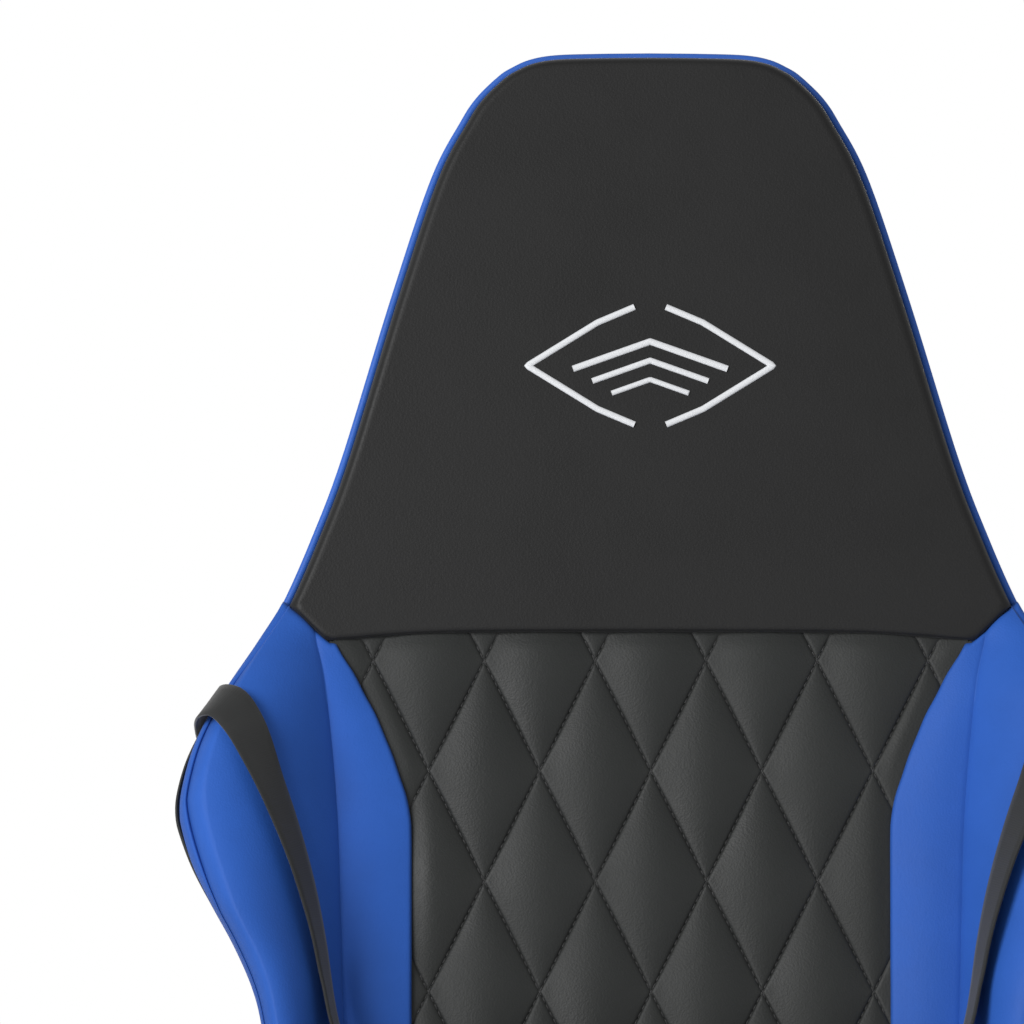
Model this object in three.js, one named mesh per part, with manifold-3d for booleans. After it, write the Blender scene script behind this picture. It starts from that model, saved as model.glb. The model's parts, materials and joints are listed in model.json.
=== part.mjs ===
// A racing-style swivel chair with a reclining bucket back, in millimetres, +Z up.
// The sitter faces -Y, so the sitter's right hand is on the -X side. The origin is on the floor
// under the gas column. The back is drawn upright in its own frame, whose origin is the recline
// hinge, and leans back as one group.
import * as THREE from "three";
import { mergeVertices } from "three/addons/utils/BufferGeometryUtils.js";
import Module from "manifold-3d";

const wasm = await Module();
wasm.setup();

// ---- Clearances ----
const SEAM = 0.4; // between pieces that are bolted or sewn face to face
const RUN = 0.5; // around a shaft or a sliding post
const SWING = 4; // between pieces that swing past each other

// ---- Casters and star base ----
const CASTERS = 5;
const WHEEL_RADIUS = 25;
const WHEEL_WIDTH = 18;
const WEB = 12; // the housing's middle plate, between the two wheels
const TRAIL = 18; // from the stem's axis back to the axle
const AXLE_RADIUS = 3.5;
const FENDER_WALL = 3;
const FENDER_GAP = 2.5;
const COLLAR_HEIGHT = 5;
const COLLAR_RADIUS = 9;
const STEM_RADIUS = 5.5;
const STEM_HEIGHT = 34;
const BASE_REACH = 304; // column axis to stem axis
const ARM_ROOT = { width: 58, height: 46 };
const ARM_TIP = { width: 30, height: 30 };
const ARM_CHAMFER = 9;
const TIP_RADIUS = 18;
const HUB_RADIUS = 37;
const HUB_HEIGHT = 58;

// ---- Gas column and its telescopic cover ----
const COLUMN_RADIUS = 25;
const CYLINDER_RADIUS = 14;
const CYLINDER_WALL = 3;
const ROD_RADIUS = 5;
const LIFT_TRAVEL = 80;
const COLUMN_LENGTH = 206;
const GUIDE_LENGTH = 20; // the liner at the column's mouth
const COLUMN_FLOOR = 6;
const CYLINDER_LENGTH = 198;
const BEARING_HEIGHT = 5.5;
const COVER_LENGTH = 92;
const COVER_WALL = 1.8;
const COVER_STEP = 2.6; // radius from one sleeve of the cover to the next
const COVER_SPAN = 171; // hub to mechanism with the seat at its lowest

// ---- Tilt mechanism ----
const MECH_HALF = 62;
const MECH_FRONT = 96;
const MECH_REAR = 66;
const MECH_NOSE = 43; // height at the front, over the pin
const MECH_TAIL = 12; // height at the rear
const SOCKET_DEPTH = 28; // how far the socket's neck hangs below the housing
const SOCKET_WALL = 9;
const SOCKET_INSIDE = 19; // how far the cylinder goes into the housing itself
const PIN_RADIUS = 5;
const PIN_FORWARD = 76;
const PIN_HEIGHT = 33; // over the housing's underside
const EAR = 5;
const PLATE = 4;
const PLATE_HALF = 95;
const PLATE_LENGTH = 220;
const PLATE_HEIGHT = 50; // over the housing's underside
const LEVER_FORWARD = 40;
const LEVER_RISE = 12;
const LEVER_PIVOT = 48;
const LEVER_REACH = 262;
const LEVER_RADIUS = 4;
const PADDLE = { length: 56, width: 24, thick: 10 };
const KNOB_RADIUS = 22;
const KNOB_HEIGHT = 32;
const KNOB_FORWARD = 67;
const KNOB_STEM = 6;

// ---- Seat ----
const BOARD_HALF = 205;
const BOARD_FRONT = 225;
const BOARD_REAR = 170;
const BOARD = 15;
const BOARD_CORNER = 40;
const CUSHION_HALF = 158;
const CUSHION_HEIGHT = 88;
const CUSHION_FRONT = 258;
const CUSHION_REAR = 176;
const SEAT_HALF = 258;
const SEAT_TAPER = 20; // how much narrower each side is at the rear
const BOLSTER_HEIGHT = 138;
const BOLSTER_REAR = 142;

// ---- Recline hinge ----
const HINGE_BACK = 190; // behind the column axis
const HINGE_RISE = 70; // over the board's underside
const LEAN = THREE.MathUtils.degToRad(10);
const BRACKET = 6;
const HINGE_ROD = 6;
const COVER_DEPTH = 27;
const COVER_DISC = 42;
const HUB_OUT = 25;
const HUB_DISC = 12;
const HANDLE_LENGTH = 150;
const HANDLE_BAR = 6;
const HANDLE_GRIP = 9;

// ---- Armrests ----
const ARM_GAP = 26; // bolster to upright
const UPRIGHT = { thick: 30, width: 62, top: 190 }; // top is over the board's underside
const FOOT = 10;
const FOOT_INNER = 120;
const ARM_MIDDLE = 20; // behind the column axis
const POST = { thick: 15, width: 43, length: 186, bite: 125 };
const POST_PLATE = { half: 30, length: 150, thick: 8 };
const ARM_PAD = { half: 40, length: 250, thick: 28, corner: 32 };
const BUTTON_RADIUS = 8.6;
const BUTTON_DROP = 30; // below the upright's top
const BUTTON_STAND = 5;
const BUTTON_SEAT = 3.6;

// ---- Back ----
const BACK_TOP = 845; // over the hinge, along the back
const BACK_BOTTOM = 50;
const SHELL_FRONT = 6; // the shell's rim stands this far in front of the frame's plane
const SHELL_BACK = 34;
const SHELL_WALL = 10;
const PAD_FRONT = 36; // the face of the head and quilted pads
const FRAME_TUBE = 11;
const FRAME_PLANE = 9; // behind the hinge
const FRAME_HALF = 142;
const LEG_HALF = 172;
const FRAME_TOP = 690;
const BACK_PLATE_RADIUS = 28;
const STRAP = { width: 25, thick: 2.5 };
const LUMBAR = { half: 152, bottom: 60, top: 265, thick: 80, round: 20, corner: 45 };

// The back's outline and its panel lines, each point as half width and distance down from the
// top. The last stretch of each runs to the bottom, whatever the back's height.
const BACK_DROP = BACK_TOP - BACK_BOTTOM;
const OUTLINE = [
  [55, 1.2],
  [82, 10],
  [100, 27],
  [125, 73],
  [148, 143],
  [176, 236],
  [193, 282],
  [209, 318],
  [238, 363],
  [263, 409],
  [270, 442],
  [260, 479],
  [236, 525],
  [221, 565],
  [212, 640],
  [208, BACK_DROP - 40],
  [196, BACK_DROP],
];
const QUILT_EDGE = [
  [181, 340],
  [162, 375],
  [146, 409],
  [137, 440],
  [135.5, 470],
  [135.5, BACK_DROP],
];
const FOLD = [
  [191, 337],
  [185, 367],
  [180, 413],
  [177, 456],
  [174, 562],
  [166, BACK_DROP],
];
// The wing's ridge as half width, distance down and how far it stands in front of the frame.
const RIDGE = [
  [206, 324, 32],
  [218, 345, 48],
  [230, 375, 72],
  [242, 409, 88],
  [246, 445, 96],
  [228, 502, 100],
  [205, 562, 100],
  [198, 685, 92],
  [190, BACK_DROP, 72],
];
// Where each shoulder strap runs down the wing: half width, distance down, distance in front.
const STRAP_RUN = [
  [181, 512, 70],
  [188, 490, 76],
  [196, 467, 82],
  [208, 440, 87],
  [222, 408, 90],
  [236, 382, 86],
];
const HEAD_SEAM = 336; // distance down to the seam under the head
const HEAD_CORNER = { half: 204, drop: 322 };

// ---- Heights that follow from those above ----
const FENDER_OUT = WHEEL_RADIUS + FENDER_GAP + FENDER_WALL;
const COLLAR_TOP = WHEEL_RADIUS + FENDER_OUT + COLLAR_HEIGHT;
const ARM_UNDER = COLLAR_TOP + 3;
const HUB_UNDER = ARM_UNDER + 6;
const HUB_TOP = HUB_UNDER + HUB_HEIGHT;
const COLUMN_UNDER = ARM_UNDER - 2;
const MECH_UNDER = HUB_TOP + COVER_SPAN;
const PIN_Z = MECH_UNDER + PIN_HEIGHT;
const BOARD_UNDER = MECH_UNDER + PLATE_HEIGHT + PLATE + SEAM;
const BOARD_OVER = BOARD_UNDER + BOARD;
const CUSHION_UNDER = BOARD_OVER + SEAM;
const HINGE_Z = BOARD_UNDER + HINGE_RISE;
const HINGE_COVER_INNER = BOARD_HALF + 2 * SEAM + BRACKET;
const LEVER_HUB_INNER = HINGE_COVER_INNER + COVER_DEPTH + SEAM;
const LEVER_OUTER = LEVER_HUB_INNER + HUB_OUT + 2 + HANDLE_GRIP;
const ARM_INNER = Math.max(SEAT_HALF + ARM_GAP, LEVER_OUTER + SWING);
const ARM_AXIS = ARM_INNER + UPRIGHT.thick / 2;

// ---- Finishes ----
const finish = (color, roughness, metalness = 0) =>
  new THREE.MeshStandardMaterial({ color, roughness, metalness });
const NYLON = finish("#1f2021", 0.55);
const RUBBERED = finish("#19191a", 0.7);
const STEEL = finish("#8f9296", 0.35, 1);
const PAINTED = finish("#1b1c1d", 0.45, 0.6);
const PLYWOOD = finish("#b98f5c", 0.7);
const BLACK_HIDE = finish("#333434", 0.5);
const BLUE_HIDE = finish("#3d68c0", 0.5);
const WEBBING = finish("#2b2c2c", 0.85);

// ---- Small tools ----
function solid(geometry) {
  const loose = geometry.index ? geometry.toNonIndexed() : geometry;
  const plain = new THREE.BufferGeometry();
  plain.setAttribute("position", loose.getAttribute("position"));
  const merged = mergeVertices(plain, 1e-3);
  const mesh = new wasm.Mesh({
    numProp: 3,
    vertProperties: merged.attributes.position.array,
    triVerts: new Uint32Array(merged.index.array),
  });
  return new wasm.Manifold(mesh);
}

function geometryOf(manifold) {
  const { vertProperties, triVerts } = manifold.getMesh();
  const geometry = new THREE.BufferGeometry();
  geometry.setAttribute("position", new THREE.BufferAttribute(vertProperties, 3));
  geometry.setIndex(new THREE.BufferAttribute(triVerts, 1));
  return geometry;
}

const join = (...pieces) =>
  geometryOf(pieces.map(solid).reduce((all, next) => all.add(next)));

const cut = (piece, ...tools) =>
  geometryOf(tools.map(solid).reduce((rest, tool) => rest.subtract(tool), solid(piece)));

function block([x0, x1], [y0, y1], [z0, z1]) {
  const box = new THREE.BoxGeometry(x1 - x0, y1 - y0, z1 - z0);
  return box.translate((x0 + x1) / 2, (y0 + y1) / 2, (z0 + z1) / 2);
}

// A solid turned about Z from [radius, height] points.
function turned(profile, sides = 24) {
  const onAxis = profile[0][0] === 0;
  const points = (onAxis ? profile : [...profile, profile[0]]).map(([r, z]) => new THREE.Vector2(r, z));
  return new THREE.LatheGeometry(points, sides).rotateX(Math.PI / 2);
}

const roundBar = (radius, from, to, sides = 16) =>
  turned([[0, from], [radius, from], [radius, to], [0, to]], sides);
const barAlongX = (radius, from, to, y, z, sides) =>
  roundBar(radius, from, to, sides).rotateY(Math.PI / 2).translate(0, y, z);
const barAlongY = (radius, from, to, x, z, sides) =>
  roundBar(radius, from, to, sides).rotateX(-Math.PI / 2).translate(x, 0, z);

const drawn = (points) => new THREE.Shape(points.map(([a, b]) => new THREE.Vector2(a, b)));
const extruded = (shape, depth) =>
  new THREE.ExtrudeGeometry(shape, { depth, bevelEnabled: false, curveSegments: 5 });

// Plates cut from an outline: slabX takes [y, z] points, slabY [x, z] and slabZ [x, y].
function slabX(shape, x0, x1) {
  const turn = new THREE.Matrix4().makeBasis(
    new THREE.Vector3(0, 1, 0),
    new THREE.Vector3(0, 0, 1),
    new THREE.Vector3(1, 0, 0),
  );
  return extruded(shape, x1 - x0).applyMatrix4(turn).translate(x0, 0, 0);
}
const slabY = (shape, y0, y1) =>
  extruded(shape, y1 - y0).rotateX(Math.PI / 2).translate(0, y1, 0);
const slabZ = (shape, z0, z1) => extruded(shape, z1 - z0).translate(0, 0, z0);

// A rectangle with round corners, about (x, y).
function roundedRectangle(halfX, halfY, corner, x = 0, y = 0) {
  const shape = new THREE.Shape();
  const quarter = Math.PI / 2;
  const centres = [
    [1, 1],
    [-1, 1],
    [-1, -1],
    [1, -1],
  ];
  centres.forEach(([sx, sy], i) => {
    const cx = x + sx * (halfX - corner);
    const cy = y + sy * (halfY - corner);
    shape.absarc(cx, cy, corner, i * quarter, (i + 1) * quarter, false);
  });
  return shape;
}

// A closed skin over rings of points, all with the same number of points.
function loft(rings) {
  const n = rings[0].length;
  const points = rings.flat();
  const faces = [];
  for (let r = 0; r + 1 < rings.length; r++) {
    for (let i = 0; i < n; i++) {
      const [a, b] = [r * n + i, r * n + ((i + 1) % n)];
      faces.push([a, b, b + n], [a, b + n, a + n]);
    }
  }
  const cap = (ring, start, flip) => {
    const [u, v] = flatAxes(ring);
    const flat = ring.map((p) => new THREE.Vector2(p[u], p[v]));
    const turn = THREE.ShapeUtils.isClockWise(flat) ? -1 : 1;
    for (const [a, b, c] of THREE.ShapeUtils.triangulateShape(flat, [])) {
      const face = [a, b, c].map((k) => start + k);
      const triangle = [a, b, c].map((k) => flat[k]);
      const same = (THREE.ShapeUtils.isClockWise(triangle) ? -1 : 1) === turn;
      faces.push(same === flip ? face.reverse() : face);
    }
  };
  cap(rings[0], 0, true);
  cap(rings.at(-1), points.length - n, false);
  const geometry = new THREE.BufferGeometry();
  const position = new Float32Array(faces.flat().flatMap((k) => points[k]));
  geometry.setAttribute("position", new THREE.BufferAttribute(position, 3));
  return facingOut(geometry);
}

// Turns every face round if the solid is inside out.
function facingOut(geometry) {
  const loose = geometry.index ? geometry.toNonIndexed() : geometry;
  const p = loose.attributes.position;
  const corner = (k) => new THREE.Vector3().fromBufferAttribute(p, k);
  let volume = 0;
  for (let i = 0; i < p.count; i += 3) volume += corner(i).cross(corner(i + 1)).dot(corner(i + 2));
  if (volume > 0) return loose;
  for (let i = 0; i < p.count; i += 3) {
    const [a, b] = [corner(i), corner(i + 1)];
    p.setXYZ(i, ...b.toArray());
    p.setXYZ(i + 1, ...a.toArray());
  }
  return loose;
}

// The two axes in which a flat ring is widest.
function flatAxes(ring) {
  const size = [0, 1, 2].map((k) => {
    const values = ring.map((p) => p[k]);
    return Math.max(...values) - Math.min(...values);
  });
  const thin = size.indexOf(Math.min(...size));
  return [0, 1, 2].filter((k) => k !== thin);
}

// A smooth curve through points that are sorted by their second number, read at any such number.
function along(points, column = 0) {
  const curve = new THREE.SplineCurve(points.map((p) => new THREE.Vector2(p[column], p[1])));
  return (drop) => {
    let [low, high] = [0, 1];
    for (let i = 0; i < 40; i++) {
      const middle = (low + high) / 2;
      if (curve.getPoint(middle).y < drop) low = middle;
      else high = middle;
    }
    return curve.getPoint(low).x;
  };
}

const part = new THREE.Group();

function add(group, name, geometry, material, mirrored = false) {
  const mesh = new THREE.Mesh(geometry, material);
  mesh.name = name;
  if (mirrored) mesh.scale.x = -1;
  group.add(mesh);
  return mesh;
}

// The left one is on the sitter's left, the +X side, and the right one is its mirror image.
function addPair(group, name, geometry, material) {
  add(group, name + "_left", geometry, material);
  add(group, name + "_right", geometry, material, true);
}

// ---- Casters ----
// Each is drawn with its stem on the Z axis and its axle behind it, along +X.
function casterHousing() {
  const half = WEB / 2;
  const wide = half + SEAM + WHEEL_WIDTH;
  const fender = new THREE.Shape();
  const [from, to] = [-0.1, Math.PI + 0.1];
  fender.absarc(TRAIL, WHEEL_RADIUS, FENDER_OUT, from, to, false);
  fender.absarc(TRAIL, WHEEL_RADIUS, FENDER_OUT - FENDER_WALL, to, from, true);
  const web = slabY(
    drawn([
      [-COLLAR_RADIUS, WHEEL_RADIUS + 12],
      [TRAIL - 12, WHEEL_RADIUS - 8],
      [TRAIL + 12, WHEEL_RADIUS - 8],
      [TRAIL + 18, WHEEL_RADIUS + 22],
      [TRAIL, WHEEL_RADIUS + FENDER_OUT - 1],
      [-COLLAR_RADIUS, WHEEL_RADIUS + FENDER_OUT - 1],
    ]),
    -half,
    half,
  );
  const collar = roundBar(COLLAR_RADIUS, WHEEL_RADIUS + 14, COLLAR_TOP, 12);
  const stem = roundBar(STEM_RADIUS, COLLAR_TOP - 1, COLLAR_TOP + STEM_HEIGHT, 8);
  const wheelRoom = [-1, 1].map((side) => {
    const [near, far] = [half, wide + 1].map((y) => side * y);
    return barAlongY(WHEEL_RADIUS + FENDER_GAP, Math.min(near, far), Math.max(near, far), TRAIL, WHEEL_RADIUS, 16);
  });
  const shell = join(slabY(fender, -wide, wide), web, collar, stem);
  const hole = barAlongY(AXLE_RADIUS + RUN, -half - 1, half + 1, TRAIL, WHEEL_RADIUS, 10);
  return cut(shell, hole, ...wheelRoom);
}

function casterWheel() {
  const [bore, tread] = [AXLE_RADIUS + RUN, WHEEL_RADIUS];
  const profile = [
    [bore, 0],
    [tread - 3, 0],
    [tread, 3],
    [tread, WHEEL_WIDTH - 3],
    [tread - 3, WHEEL_WIDTH],
    [bore, WHEEL_WIDTH],
  ];
  return turned(profile, 18).rotateX(-Math.PI / 2).translate(TRAIL, WEB / 2 + SEAM, WHEEL_RADIUS);
}

function addCasters() {
  const housing = casterHousing();
  const wheel = casterWheel();
  const axleHalf = WEB / 2 + SEAM + WHEEL_WIDTH - 2;
  const axle = barAlongY(AXLE_RADIUS, -axleHalf, axleHalf, TRAIL, WHEEL_RADIUS, 10);
  for (let i = 0; i < CASTERS; i++) {
    const angle = -Math.PI / 2 + (i * 2 * Math.PI) / CASTERS;
    const caster = new THREE.Group();
    caster.position.set(BASE_REACH * Math.cos(angle), BASE_REACH * Math.sin(angle), 0);
    caster.rotation.z = angle;
    add(caster, `caster_housing_${i + 1}`, housing, NYLON);
    add(caster, `caster_axle_${i + 1}`, axle, STEEL);
    add(caster, `caster_wheel_${i + 1}_a`, wheel, RUBBERED);
    const other = add(caster, `caster_wheel_${i + 1}_b`, wheel, RUBBERED);
    other.scale.y = -1;
    part.add(caster);
  }
}

// ---- Star base ----
function starArm() {
  const section = (x, { width, height }, under) => {
    const [half, top] = [width / 2, under + height];
    return [
      [x, -half, under],
      [x, half, under],
      [x, half, top - ARM_CHAMFER],
      [x, half - ARM_CHAMFER, top],
      [x, ARM_CHAMFER - half, top],
      [x, -half, top - ARM_CHAMFER],
    ];
  };
  return loft([
    section(HUB_RADIUS - 12, ARM_ROOT, HUB_UNDER),
    section(HUB_RADIUS + 40, ARM_ROOT, HUB_UNDER),
    section(BASE_REACH - 10, ARM_TIP, ARM_UNDER),
  ]);
}

function starBase() {
  const arms = [];
  const sockets = [];
  for (let i = 0; i < CASTERS; i++) {
    const angle = -Math.PI / 2 + (i * 2 * Math.PI) / CASTERS;
    const tipTop = ARM_UNDER + STEM_HEIGHT + 6;
    arms.push(starArm().rotateZ(angle));
    arms.push(roundBar(TIP_RADIUS, ARM_UNDER, tipTop, 16).translate(BASE_REACH, 0, 0).rotateZ(angle));
    const socket = roundBar(STEM_RADIUS + RUN, ARM_UNDER - 1, ARM_UNDER + STEM_HEIGHT, 8);
    sockets.push(socket.translate(BASE_REACH, 0, 0).rotateZ(angle));
  }
  const hub = roundBar(HUB_RADIUS, HUB_UNDER, HUB_TOP, 24);
  const bore = roundBar(COLUMN_RADIUS + SEAM, HUB_UNDER - 5, HUB_TOP + 5, 24);
  return cut(join(hub, ...arms), bore, ...sockets);
}

// ---- Gas column ----
function addColumn() {
  const columnTop = COLUMN_UNDER + COLUMN_LENGTH;
  const floorTop = COLUMN_UNDER + COLUMN_FLOOR;
  const guide = CYLINDER_RADIUS + RUN;
  const hole = ROD_RADIUS + RUN;
  const column = [
    [hole, COLUMN_UNDER],
    [COLUMN_RADIUS, COLUMN_UNDER],
    [COLUMN_RADIUS, columnTop],
    [guide, columnTop],
    [guide, columnTop - GUIDE_LENGTH],
    [guide + 3.5, columnTop - GUIDE_LENGTH - 3],
    [guide + 3.5, floorTop],
    [hole, floorTop],
  ];
  add(part, "column_tube", turned(column), PAINTED);

  const bearingUnder = floorTop + SEAM;
  const bearingTop = bearingUnder + BEARING_HEIGHT;
  const bearing = [
    [hole, bearingUnder],
    [guide, bearingUnder],
    [guide, bearingTop],
    [hole, bearingTop],
  ];
  add(part, "thrust_bearing", turned(bearing, 16), STEEL);

  const cylinderTop = MECH_UNDER + SOCKET_INSIDE;
  const cylinderUnder = cylinderTop - CYLINDER_LENGTH;
  const bore = CYLINDER_RADIUS - CYLINDER_WALL;
  const flangeUnder = bearingTop + SEAM;
  const clipTop = COLUMN_UNDER - SEAM;
  const pistonTop = cylinderTop - 22;
  const rod = [
    [0, clipTop - 4],
    [ROD_RADIUS + 4, clipTop - 4],
    [ROD_RADIUS + 4, clipTop],
    [ROD_RADIUS, clipTop],
    [ROD_RADIUS, flangeUnder],
    [ROD_RADIUS + 7, flangeUnder],
    [ROD_RADIUS + 7, flangeUnder + 3],
    [ROD_RADIUS, flangeUnder + 3],
    [ROD_RADIUS, pistonTop - 12],
    [bore - RUN, pistonTop - 12],
    [bore - RUN, pistonTop],
    [0, pistonTop],
  ];
  add(part, "piston_rod", turned(rod, 16), STEEL);

  const cylinder = [
    [0, cylinderTop - 10],
    [bore, cylinderTop - 10],
    [bore, cylinderUnder + 8],
    [hole, cylinderUnder + 8],
    [hole, cylinderUnder],
    [CYLINDER_RADIUS, cylinderUnder],
    [CYLINDER_RADIUS, cylinderTop],
    [0, cylinderTop],
  ];
  add(part, "gas_cylinder", turned(cylinder), STEEL);
}

function addTelescopicCover() {
  const inner = CYLINDER_RADIUS + RUN + SOCKET_WALL + 8;
  const sleeves = [
    ["cover_lower", HUB_TOP + SEAM, 0],
    ["cover_middle", HUB_TOP + (COVER_SPAN - COVER_LENGTH) / 2, 1],
    ["cover_upper", MECH_UNDER - SEAM - COVER_LENGTH, 2],
  ];
  for (const [name, under, step] of sleeves) {
    const radius = inner + step * COVER_STEP;
    const wall = [
      [radius, under],
      [radius + COVER_WALL, under],
      [radius + COVER_WALL, under + COVER_LENGTH],
      [radius, under + COVER_LENGTH],
    ];
    add(part, name, turned(wall), NYLON);
  }
}

// ---- Tilt mechanism ----
function mechanismHousing() {
  const wedge = slabX(
    drawn([
      [-MECH_FRONT, MECH_UNDER],
      [MECH_REAR, MECH_UNDER],
      [MECH_REAR, MECH_UNDER + MECH_TAIL],
      [10 - PIN_FORWARD, MECH_UNDER + MECH_NOSE],
      [-MECH_FRONT, MECH_UNDER + MECH_NOSE],
    ]),
    -MECH_HALF,
    MECH_HALF,
  );
  const fit = CYLINDER_RADIUS + SEAM;
  const neck = roundBar(fit + SOCKET_WALL, MECH_UNDER - SOCKET_DEPTH, MECH_UNDER + 1, 24);
  const socket = roundBar(fit, MECH_UNDER - SOCKET_DEPTH - 1, MECH_UNDER + SOCKET_INSIDE + SEAM, 24);
  const pinHole = barAlongX(PIN_RADIUS + RUN, -MECH_HALF - 1, MECH_HALF + 1, -PIN_FORWARD, PIN_Z, 16);
  const knobHole = roundBar(KNOB_STEM + RUN, MECH_UNDER - 1, MECH_UNDER + 12, 16);
  const leverZ = MECH_UNDER + LEVER_RISE;
  const room = LEVER_RADIUS + SWING;
  const leverPocket = block(
    [-MECH_HALF - 1, -LEVER_PIVOT + 18],
    [-LEVER_FORWARD - room, -LEVER_FORWARD + room],
    [leverZ - room, leverZ + room],
  );
  return cut(join(wedge, neck), socket, pinHole, knobHole.translate(0, -KNOB_FORWARD, 0), leverPocket);
}

function tiltPlate() {
  const under = MECH_UNDER + PLATE_HEIGHT;
  const [earInner, earOuter] = [MECH_HALF + 2, MECH_HALF + 2 + EAR];
  const ear = block(
    [earInner, earOuter],
    [-PIN_FORWARD - 14, -PIN_FORWARD + 14],
    [PIN_Z - 11, under + 1],
  );
  const plate = block([-PLATE_HALF, PLATE_HALF], [-PLATE_LENGTH / 2, PLATE_LENGTH / 2], [under, under + PLATE]);
  const otherEar = ear.clone().translate(-earInner - earOuter, 0, 0);
  const hole = barAlongX(PIN_RADIUS + RUN, -earOuter - 1, earOuter + 1, -PIN_FORWARD, PIN_Z, 16);
  return cut(join(plate, ear, otherEar), hole);
}

function heightLever() {
  const z = MECH_UNDER + LEVER_RISE;
  const inner = LEVER_PIVOT - 10;
  const rod = barAlongX(LEVER_RADIUS, -LEVER_REACH + PADDLE.length - 10, -inner, -LEVER_FORWARD, z, 10);
  const paddle = slabZ(
    roundedRectangle(PADDLE.length / 2, PADDLE.width / 2, 9, -LEVER_REACH + PADDLE.length / 2, -LEVER_FORWARD),
    z - PADDLE.thick / 2,
    z + PADDLE.thick / 2,
  );
  return join(rod, paddle);
}

function tensionKnob() {
  const top = MECH_UNDER - 3;
  const knob = turned([
    [0, top - KNOB_HEIGHT],
    [KNOB_RADIUS - 3, top - KNOB_HEIGHT],
    [KNOB_RADIUS, top - KNOB_HEIGHT + 3],
    [KNOB_RADIUS, top],
    [KNOB_STEM, top],
    [KNOB_STEM, MECH_UNDER + 10],
    [0, MECH_UNDER + 10],
  ], 20);
  return knob.translate(0, -KNOB_FORWARD, 0);
}

function addMechanism() {
  add(part, "mechanism_housing", mechanismHousing(), PAINTED);
  const pinHalf = MECH_HALF + 2 + EAR + 3;
  add(part, "tilt_pin", barAlongX(PIN_RADIUS, -pinHalf, pinHalf, -PIN_FORWARD, PIN_Z, 16), STEEL);
  add(part, "tilt_plate", tiltPlate(), PAINTED);
  add(part, "height_lever", heightLever(), NYLON);
  add(part, "tension_knob", tensionKnob(), NYLON);
}

// ---- Seat ----
function seatBolster() {
  // Each section: distance behind the column axis, ridge height and outer half width.
  const inner = CUSHION_HALF + SEAM;
  const sections = [
    [-CUSHION_FRONT + 3, CUSHION_HEIGHT - 38, SEAT_HALF - 34],
    [-CUSHION_FRONT + 18, CUSHION_HEIGHT + 4, SEAT_HALF - 12],
    [-CUSHION_FRONT + 60, BOLSTER_HEIGHT - 14, SEAT_HALF],
    [-60, BOLSTER_HEIGHT, SEAT_HALF],
    [50, BOLSTER_HEIGHT - 10, SEAT_HALF - SEAT_TAPER / 3],
    [92, CUSHION_HEIGHT + 8, SEAT_HALF - SEAT_TAPER / 2],
    [BOLSTER_REAR, CUSHION_HEIGHT - 6, SEAT_HALF - SEAT_TAPER],
  ];
  const rings = sections.map(([y, height, outer]) => {
    const low = Math.min(CUSHION_HEIGHT - 4, height - 2);
    const rib = [
      [inner, 0],
      [outer - 8, 0],
      [outer, height * 0.5],
      [outer - 10, height * 0.86],
      [outer - 30, height],
      [(inner + outer) / 2 - 8, (height + low) / 2 + 4],
      [inner, low],
    ];
    return rib.map(([x, z]) => [x, y, CUSHION_UNDER + z]);
  });
  return loft(rings);
}

function seatCushion() {
  const [front, rear, top] = [-CUSHION_FRONT, CUSHION_REAR, CUSHION_UNDER + CUSHION_HEIGHT];
  const side = [
    [front + 16, CUSHION_UNDER],
    [rear, CUSHION_UNDER],
    [rear, top - 14],
    [rear - 14, top],
    [60, top - 5],
    [front + 76, top],
    [front + 32, top - 7],
    [front + 8, top - 24],
    [front, top - 48],
  ];
  return slabX(drawn(side), -CUSHION_HALF, CUSHION_HALF);
}

function addSeat() {
  const length = BOARD_FRONT + BOARD_REAR;
  const middle = (BOARD_REAR - BOARD_FRONT) / 2;
  const outline = roundedRectangle(BOARD_HALF, length / 2, BOARD_CORNER, 0, middle);
  add(part, "seat_board", slabZ(outline, BOARD_UNDER, BOARD_OVER), PLYWOOD);
  add(part, "seat_cushion", seatCushion(), BLACK_HIDE);
  addPair(part, "seat_bolster", seatBolster(), BLUE_HIDE);
}

// ---- Recline hinge ----
function reclinerBracket() {
  const [inner, outer] = [BOARD_HALF + SEAM, BOARD_HALF + SEAM + BRACKET];
  const [y, z] = [HINGE_BACK, HINGE_Z];
  const low = BOARD_UNDER - SEAM - BRACKET;
  const profile = drawn([
    [y - 95, low],
    [y - 20, low],
    [y + 29, z - 25],
    [y + 33, z],
    [y + 21, z + 23],
    [y, z + 30],
    [y - 23, z + 21],
    [y - 31, z],
    [y - 43, BOARD_OVER - SEAM],
    [y - 95, BOARD_OVER - SEAM],
  ]);
  const foot = block([BOARD_HALF - 45, outer - 1], [y - 95, y - 30], [low, BOARD_UNDER - SEAM]);
  const bore = barAlongX(HINGE_ROD + RUN, inner - 1, outer + 1, y, z, 16);
  return cut(join(slabX(profile, inner, outer), foot), bore);
}

function reclinerCover() {
  const inner = HINGE_COVER_INNER;
  const shape = new THREE.Shape();
  const [y, z] = [HINGE_BACK, HINGE_Z];
  shape.absarc(y, z, COVER_DISC, -0.5, Math.PI + 0.15, false);
  shape.lineTo(y - 38, BOARD_UNDER + 4);
  shape.lineTo(y + 6, BOARD_UNDER + 4);
  const cap = slabX(shape, inner, inner + COVER_DEPTH);
  return cut(cap, barAlongX(HINGE_ROD + RUN, inner - 1, inner + COVER_DEPTH + 1, y, z, 16));
}

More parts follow.
